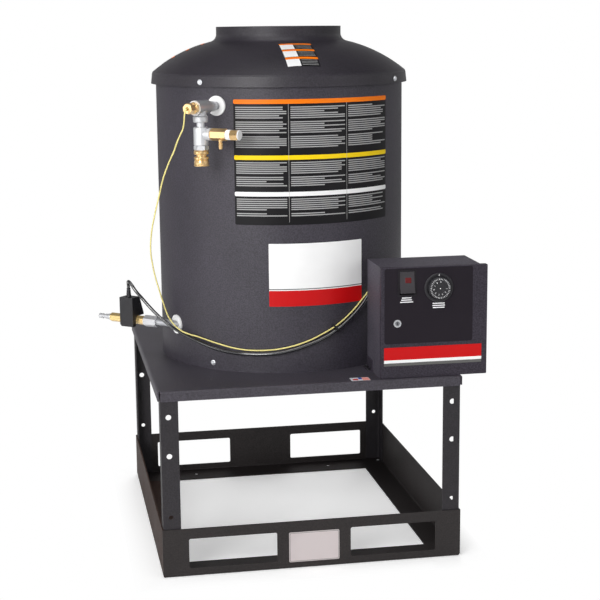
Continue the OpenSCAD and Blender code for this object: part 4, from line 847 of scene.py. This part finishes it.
def round_screw(name, at, outward, radius=3.2, look="dark screw"):
    """A low round head, at a point in metres."""
    dome = [(radius, 0), (radius, 0.5), (radius * 0.85, 1.1), (radius * 0.5, 1.5), (0.2, 1.6)]
    piece(name, lathe(dome, at, outward, 24), PRINTS[look], "stand")


def make_drum_screws():
    """Hexagon heads around the lid's skirt and around the foot of the drum."""
    lid_angles, lid_z = (-45, 51, 135, 231), 1052 * MM
    foot_angles, foot_z = (-42.5, 47.5, 137.5, 227.5), 430.5 * MM
    for i, angle in enumerate(lid_angles):
        at = on_drum(angle, lid_z, 0, SKIRT_R)
        hex_screw(f"lid_screw_{i + 1}", at, off_drum(at))
    for i, angle in enumerate(foot_angles):
        at = on_drum(angle, foot_z, 0)
        hex_screw(f"foot_screw_{i + 1}", at, off_drum(at))


def make_stand_screws():
    """The bolts of the box's bracket, and a screw in each corner of the base."""
    bracket_x, bracket_top = 143 * MM, DECK_TOP + 2 * MM
    corner_x, corner_y, flange_top = 320 * MM, 355 * MM, 3 * MM
    for i, y in enumerate((-287, -263)):
        hex_screw(f"bracket_bolt_{i + 1}", (bracket_x, y * MM, bracket_top), (0, 0, 1), washer_r=5.2,
                  flats_r=4.0, height=4.5, look="dark screw")
    for i, (side, end) in enumerate(((-1, -1), (1, -1), (-1, 1), (1, 1))):
        at = (side * corner_x, end * corner_y, flange_top)
        round_screw(f"corner_screw_{i + 1}", at, (0, 0, 1), radius=4.0, look="screw")


def make_hinge_screws():
    """Two screws in each fixed hinge leaf, on the box's right side."""
    leaf_t, from_edge = 1.6 * MM, 6 * MM
    low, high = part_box("hinge_fixed")
    for i, z in enumerate((461, 485, 589, 613)):
        round_screw(f"hinge_screw_{i + 1}", (low[0] + leaf_t, high[1] - from_edge, z * MM), (1, 0, 0))


def make_seam():
    """The lap seam of the rolled shell, at the back, with its rivets."""
    middle, half = 203.0, 2.3
    low, high = 417.0, 1040.0
    depth = 0.9 * MM
    rivets, from_end = 9, 30
    strip = thicken(drum_patch(middle - half, middle + half, low, high, depth), depth)
    piece("drum_seam", strip, PRINTS["painted"], "stand")
    for i in range(rivets):
        z = low + from_end + (high - low - 2 * from_end) * i / (rivets - 1)
        at = on_drum(middle, z * MM, depth)
        round_screw(f"seam_rivet_{i + 1}", at, off_drum(at), look="painted")


def make_gas_thread():
    """The thread on the end of the gas pipe."""
    length, pitch, depth = 14.0, 1.8, 0.5
    sunk, from_end = 0.2, 1
    low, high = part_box("gas_pipe")
    radius = (high[0] - low[0]) / 2 / MM
    turns = int(length / pitch)
    profile = [(radius - depth, -sunk)]
    for i in range(turns):
        profile += [(radius - depth / 4, i * pitch), (radius + depth, (i + 0.5) * pitch)]
    profile.append((radius - depth, turns * pitch))
    start = (0, high[1] - (length + from_end) * MM, (low[2] + high[2]) / 2)
    piece("gas_thread", lathe(profile, start, (0, 1, 0)), FINISHES["zinc_steel"], "stand")


# ---- Lights and floor ----

# Each lamp's place, the height that it aims at, its side in metres, its power, and whether it is mirrored
LAMPS = {
    "key": ((-2.3, -3.4, 2.0), 0.9, 1.6, 96, True),
    "fill": ((2.8, -3.2, 1.5), 0.6, 2.0, 12, True),
    "top": ((-0.6, -1.0, 3.8), 0.5, 2.0, 40, True),
    "side": ((-3.4, -1.1, 0.9), 0.7, 1.6, 16, True),
    "back": ((1.0, 3.4, 2.2), 0.7, 2.0, 70, False),
}


def multiply(nodes, links, value):
    """A node that multiplies a value by its second input."""
    made = nodes.new("ShaderNodeMath")
    made.operation = "MULTIPLY"
    links.new(value, made.inputs[0])
    return made


def stand_distance(nodes, links):
    """How far out a point of the floor lies: 1 on the outline of the stand, more outside it."""
    place = nodes.new("ShaderNodeTexCoord")
    share = nodes.new("ShaderNodeVectorMath")
    share.operation = "DIVIDE"
    share.inputs[1].default_value = (BASE_HIGH[0], -BASE_LOW[1], 1)
    links.new(place.outputs["Object"], share.inputs[0])
    unsigned = nodes.new("ShaderNodeVectorMath")
    unsigned.operation = "ABSOLUTE"
    links.new(share.outputs["Vector"], unsigned.inputs[0])
    split = nodes.new("ShaderNodeSeparateXYZ")
    links.new(unsigned.outputs["Vector"], split.inputs["Vector"])
    away = nodes.new("ShaderNodeMath")
    away.operation = "MAXIMUM"
    links.new(split.outputs["X"], away.inputs[0])
    links.new(split.outputs["Y"], away.inputs[1])
    return away.outputs["Value"]


def floor_look():
    """A light floor that takes the shadows and turns plain white for the camera outside the stand."""
    made = bpy.data.materials.new("floor")
    made.use_nodes = True
    nodes, links = made.node_tree.nodes, made.node_tree.links
    shader = nodes["Principled BSDF"]
    shader.inputs["Base Color"].default_value = (0.93, 0.93, 0.93, 1)
    shader.inputs["Roughness"].default_value = 0.9
    shader.inputs["Specular IOR Level"].default_value = 0.1
    shader.inputs["Emission Color"].default_value = WHITE
    fade = nodes.new("ShaderNodeMapRange")
    fade.inputs["From Min"].default_value = 0.98
    fade.inputs["From Max"].default_value = 1.2
    links.new(stand_distance(nodes, links), fade.inputs["Value"])
    rays = nodes.new("ShaderNodeLightPath")
    glow = multiply(nodes, links, rays.outputs["Is Camera Ray"])
    glow.inputs[1].default_value = 0.3
    links.new(glow.outputs["Value"], shader.inputs["Emission Strength"])
    share = multiply(nodes, links, rays.outputs["Is Camera Ray"])
    links.new(fade.outputs["Result"], share.inputs[1])
    white = nodes.new("ShaderNodeEmission")
    mix = nodes.new("ShaderNodeMixShader")
    links.new(share.outputs["Value"], mix.inputs["Fac"])
    links.new(shader.outputs["BSDF"], mix.inputs[1])
    links.new(white.outputs["Emission"], mix.inputs[2])
    links.new(mix.outputs["Shader"], nodes["Material Output"].inputs["Surface"])
    return made


def make_floor():
    """A wide flat floor just below the stand, in metres."""
    half = 30
    corners = [(-half, -half, 0), (half, -half, 0), (half, half, 0), (-half, half, 0)]
    data = bpy.data.meshes.new("floor")
    data.from_pydata(corners, [], [(0, 1, 2, 3)])
    floor = bpy.data.objects.new("floor", data)
    bpy.context.collection.objects.link(floor)
    floor.location.z = -0.5 * MM
    data.materials.append(floor_look())


def area_light(name, at, aim_z, side, power, mirrored):
    """A soft square lamp that aims at the object's axis; one that isn't mirrored shows in no reflection."""
    data = bpy.data.lights.new(name, "AREA")
    data.shape = "SQUARE"
    data.size = side
    data.energy = power
    lamp = bpy.data.objects.new(name, data)
    bpy.context.collection.objects.link(lamp)
    lamp.location = at
    lamp.visible_glossy = mirrored
    lamp.rotation_euler = (Vector((0, 0, aim_z)) - Vector(at)).to_track_quat("-Z", "Y").to_euler()


def make_world():
    """White behind the object for the camera; for all else a room that is bright around and dark above."""
    world = bpy.data.worlds.new("studio")
    bpy.context.scene.world = world
    world.use_nodes = True
    nodes, links = world.node_tree.nodes, world.node_tree.links
    nodes.clear()
    out = nodes.new("ShaderNodeOutputWorld")
    place = nodes.new("ShaderNodeTexCoord")
    split = nodes.new("ShaderNodeSeparateXYZ")
    links.new(place.outputs["Generated"], split.inputs["Vector"])
    height = nodes.new("ShaderNodeMapRange")
    height.interpolation_type = "SMOOTHSTEP"
    height.inputs["From Min"].default_value = 0.05
    height.inputs["From Max"].default_value = 0.75
    height.inputs["To Min"].default_value = 0.62
    height.inputs["To Max"].default_value = 0.06
    links.new(split.outputs["Z"], height.inputs["Value"])
    room = nodes.new("ShaderNodeBackground")
    room.inputs["Color"].default_value = WHITE
    links.new(height.outputs["Result"], room.inputs["Strength"])
    white = nodes.new("ShaderNodeBackground")
    white.inputs["Color"].default_value = WHITE
    rays = nodes.new("ShaderNodeLightPath")
    mix = nodes.new("ShaderNodeMixShader")
    links.new(rays.outputs["Is Camera Ray"], mix.inputs["Fac"])
    links.new(room.outputs["Background"], mix.inputs[1])
    links.new(white.outputs["Background"], mix.inputs[2])
    links.new(mix.outputs["Shader"], out.inputs["Surface"])


def make_studio():
    """The world, the floor and the lamps."""
    make_world()
    make_floor()
    for name, lamp in LAMPS.items():
        area_light(name, *lamp)


make_camera()
make_cords()
paint_nodes()
make_drum_label()
make_drum_sign()
make_lid_label("lid_label_front", 2.1)
make_lid_label("lid_label_left", -97)
make_deck_sticker()
make_rating_plate()
make_door_print()
make_rocker_lens()
make_dial_print()
make_key_slot()
make_drum_screws()
make_stand_screws()
make_hinge_screws()
make_seam()
make_gas_thread()
make_studio()
bpy.context.scene.view_settings.view_transform = "Standard"
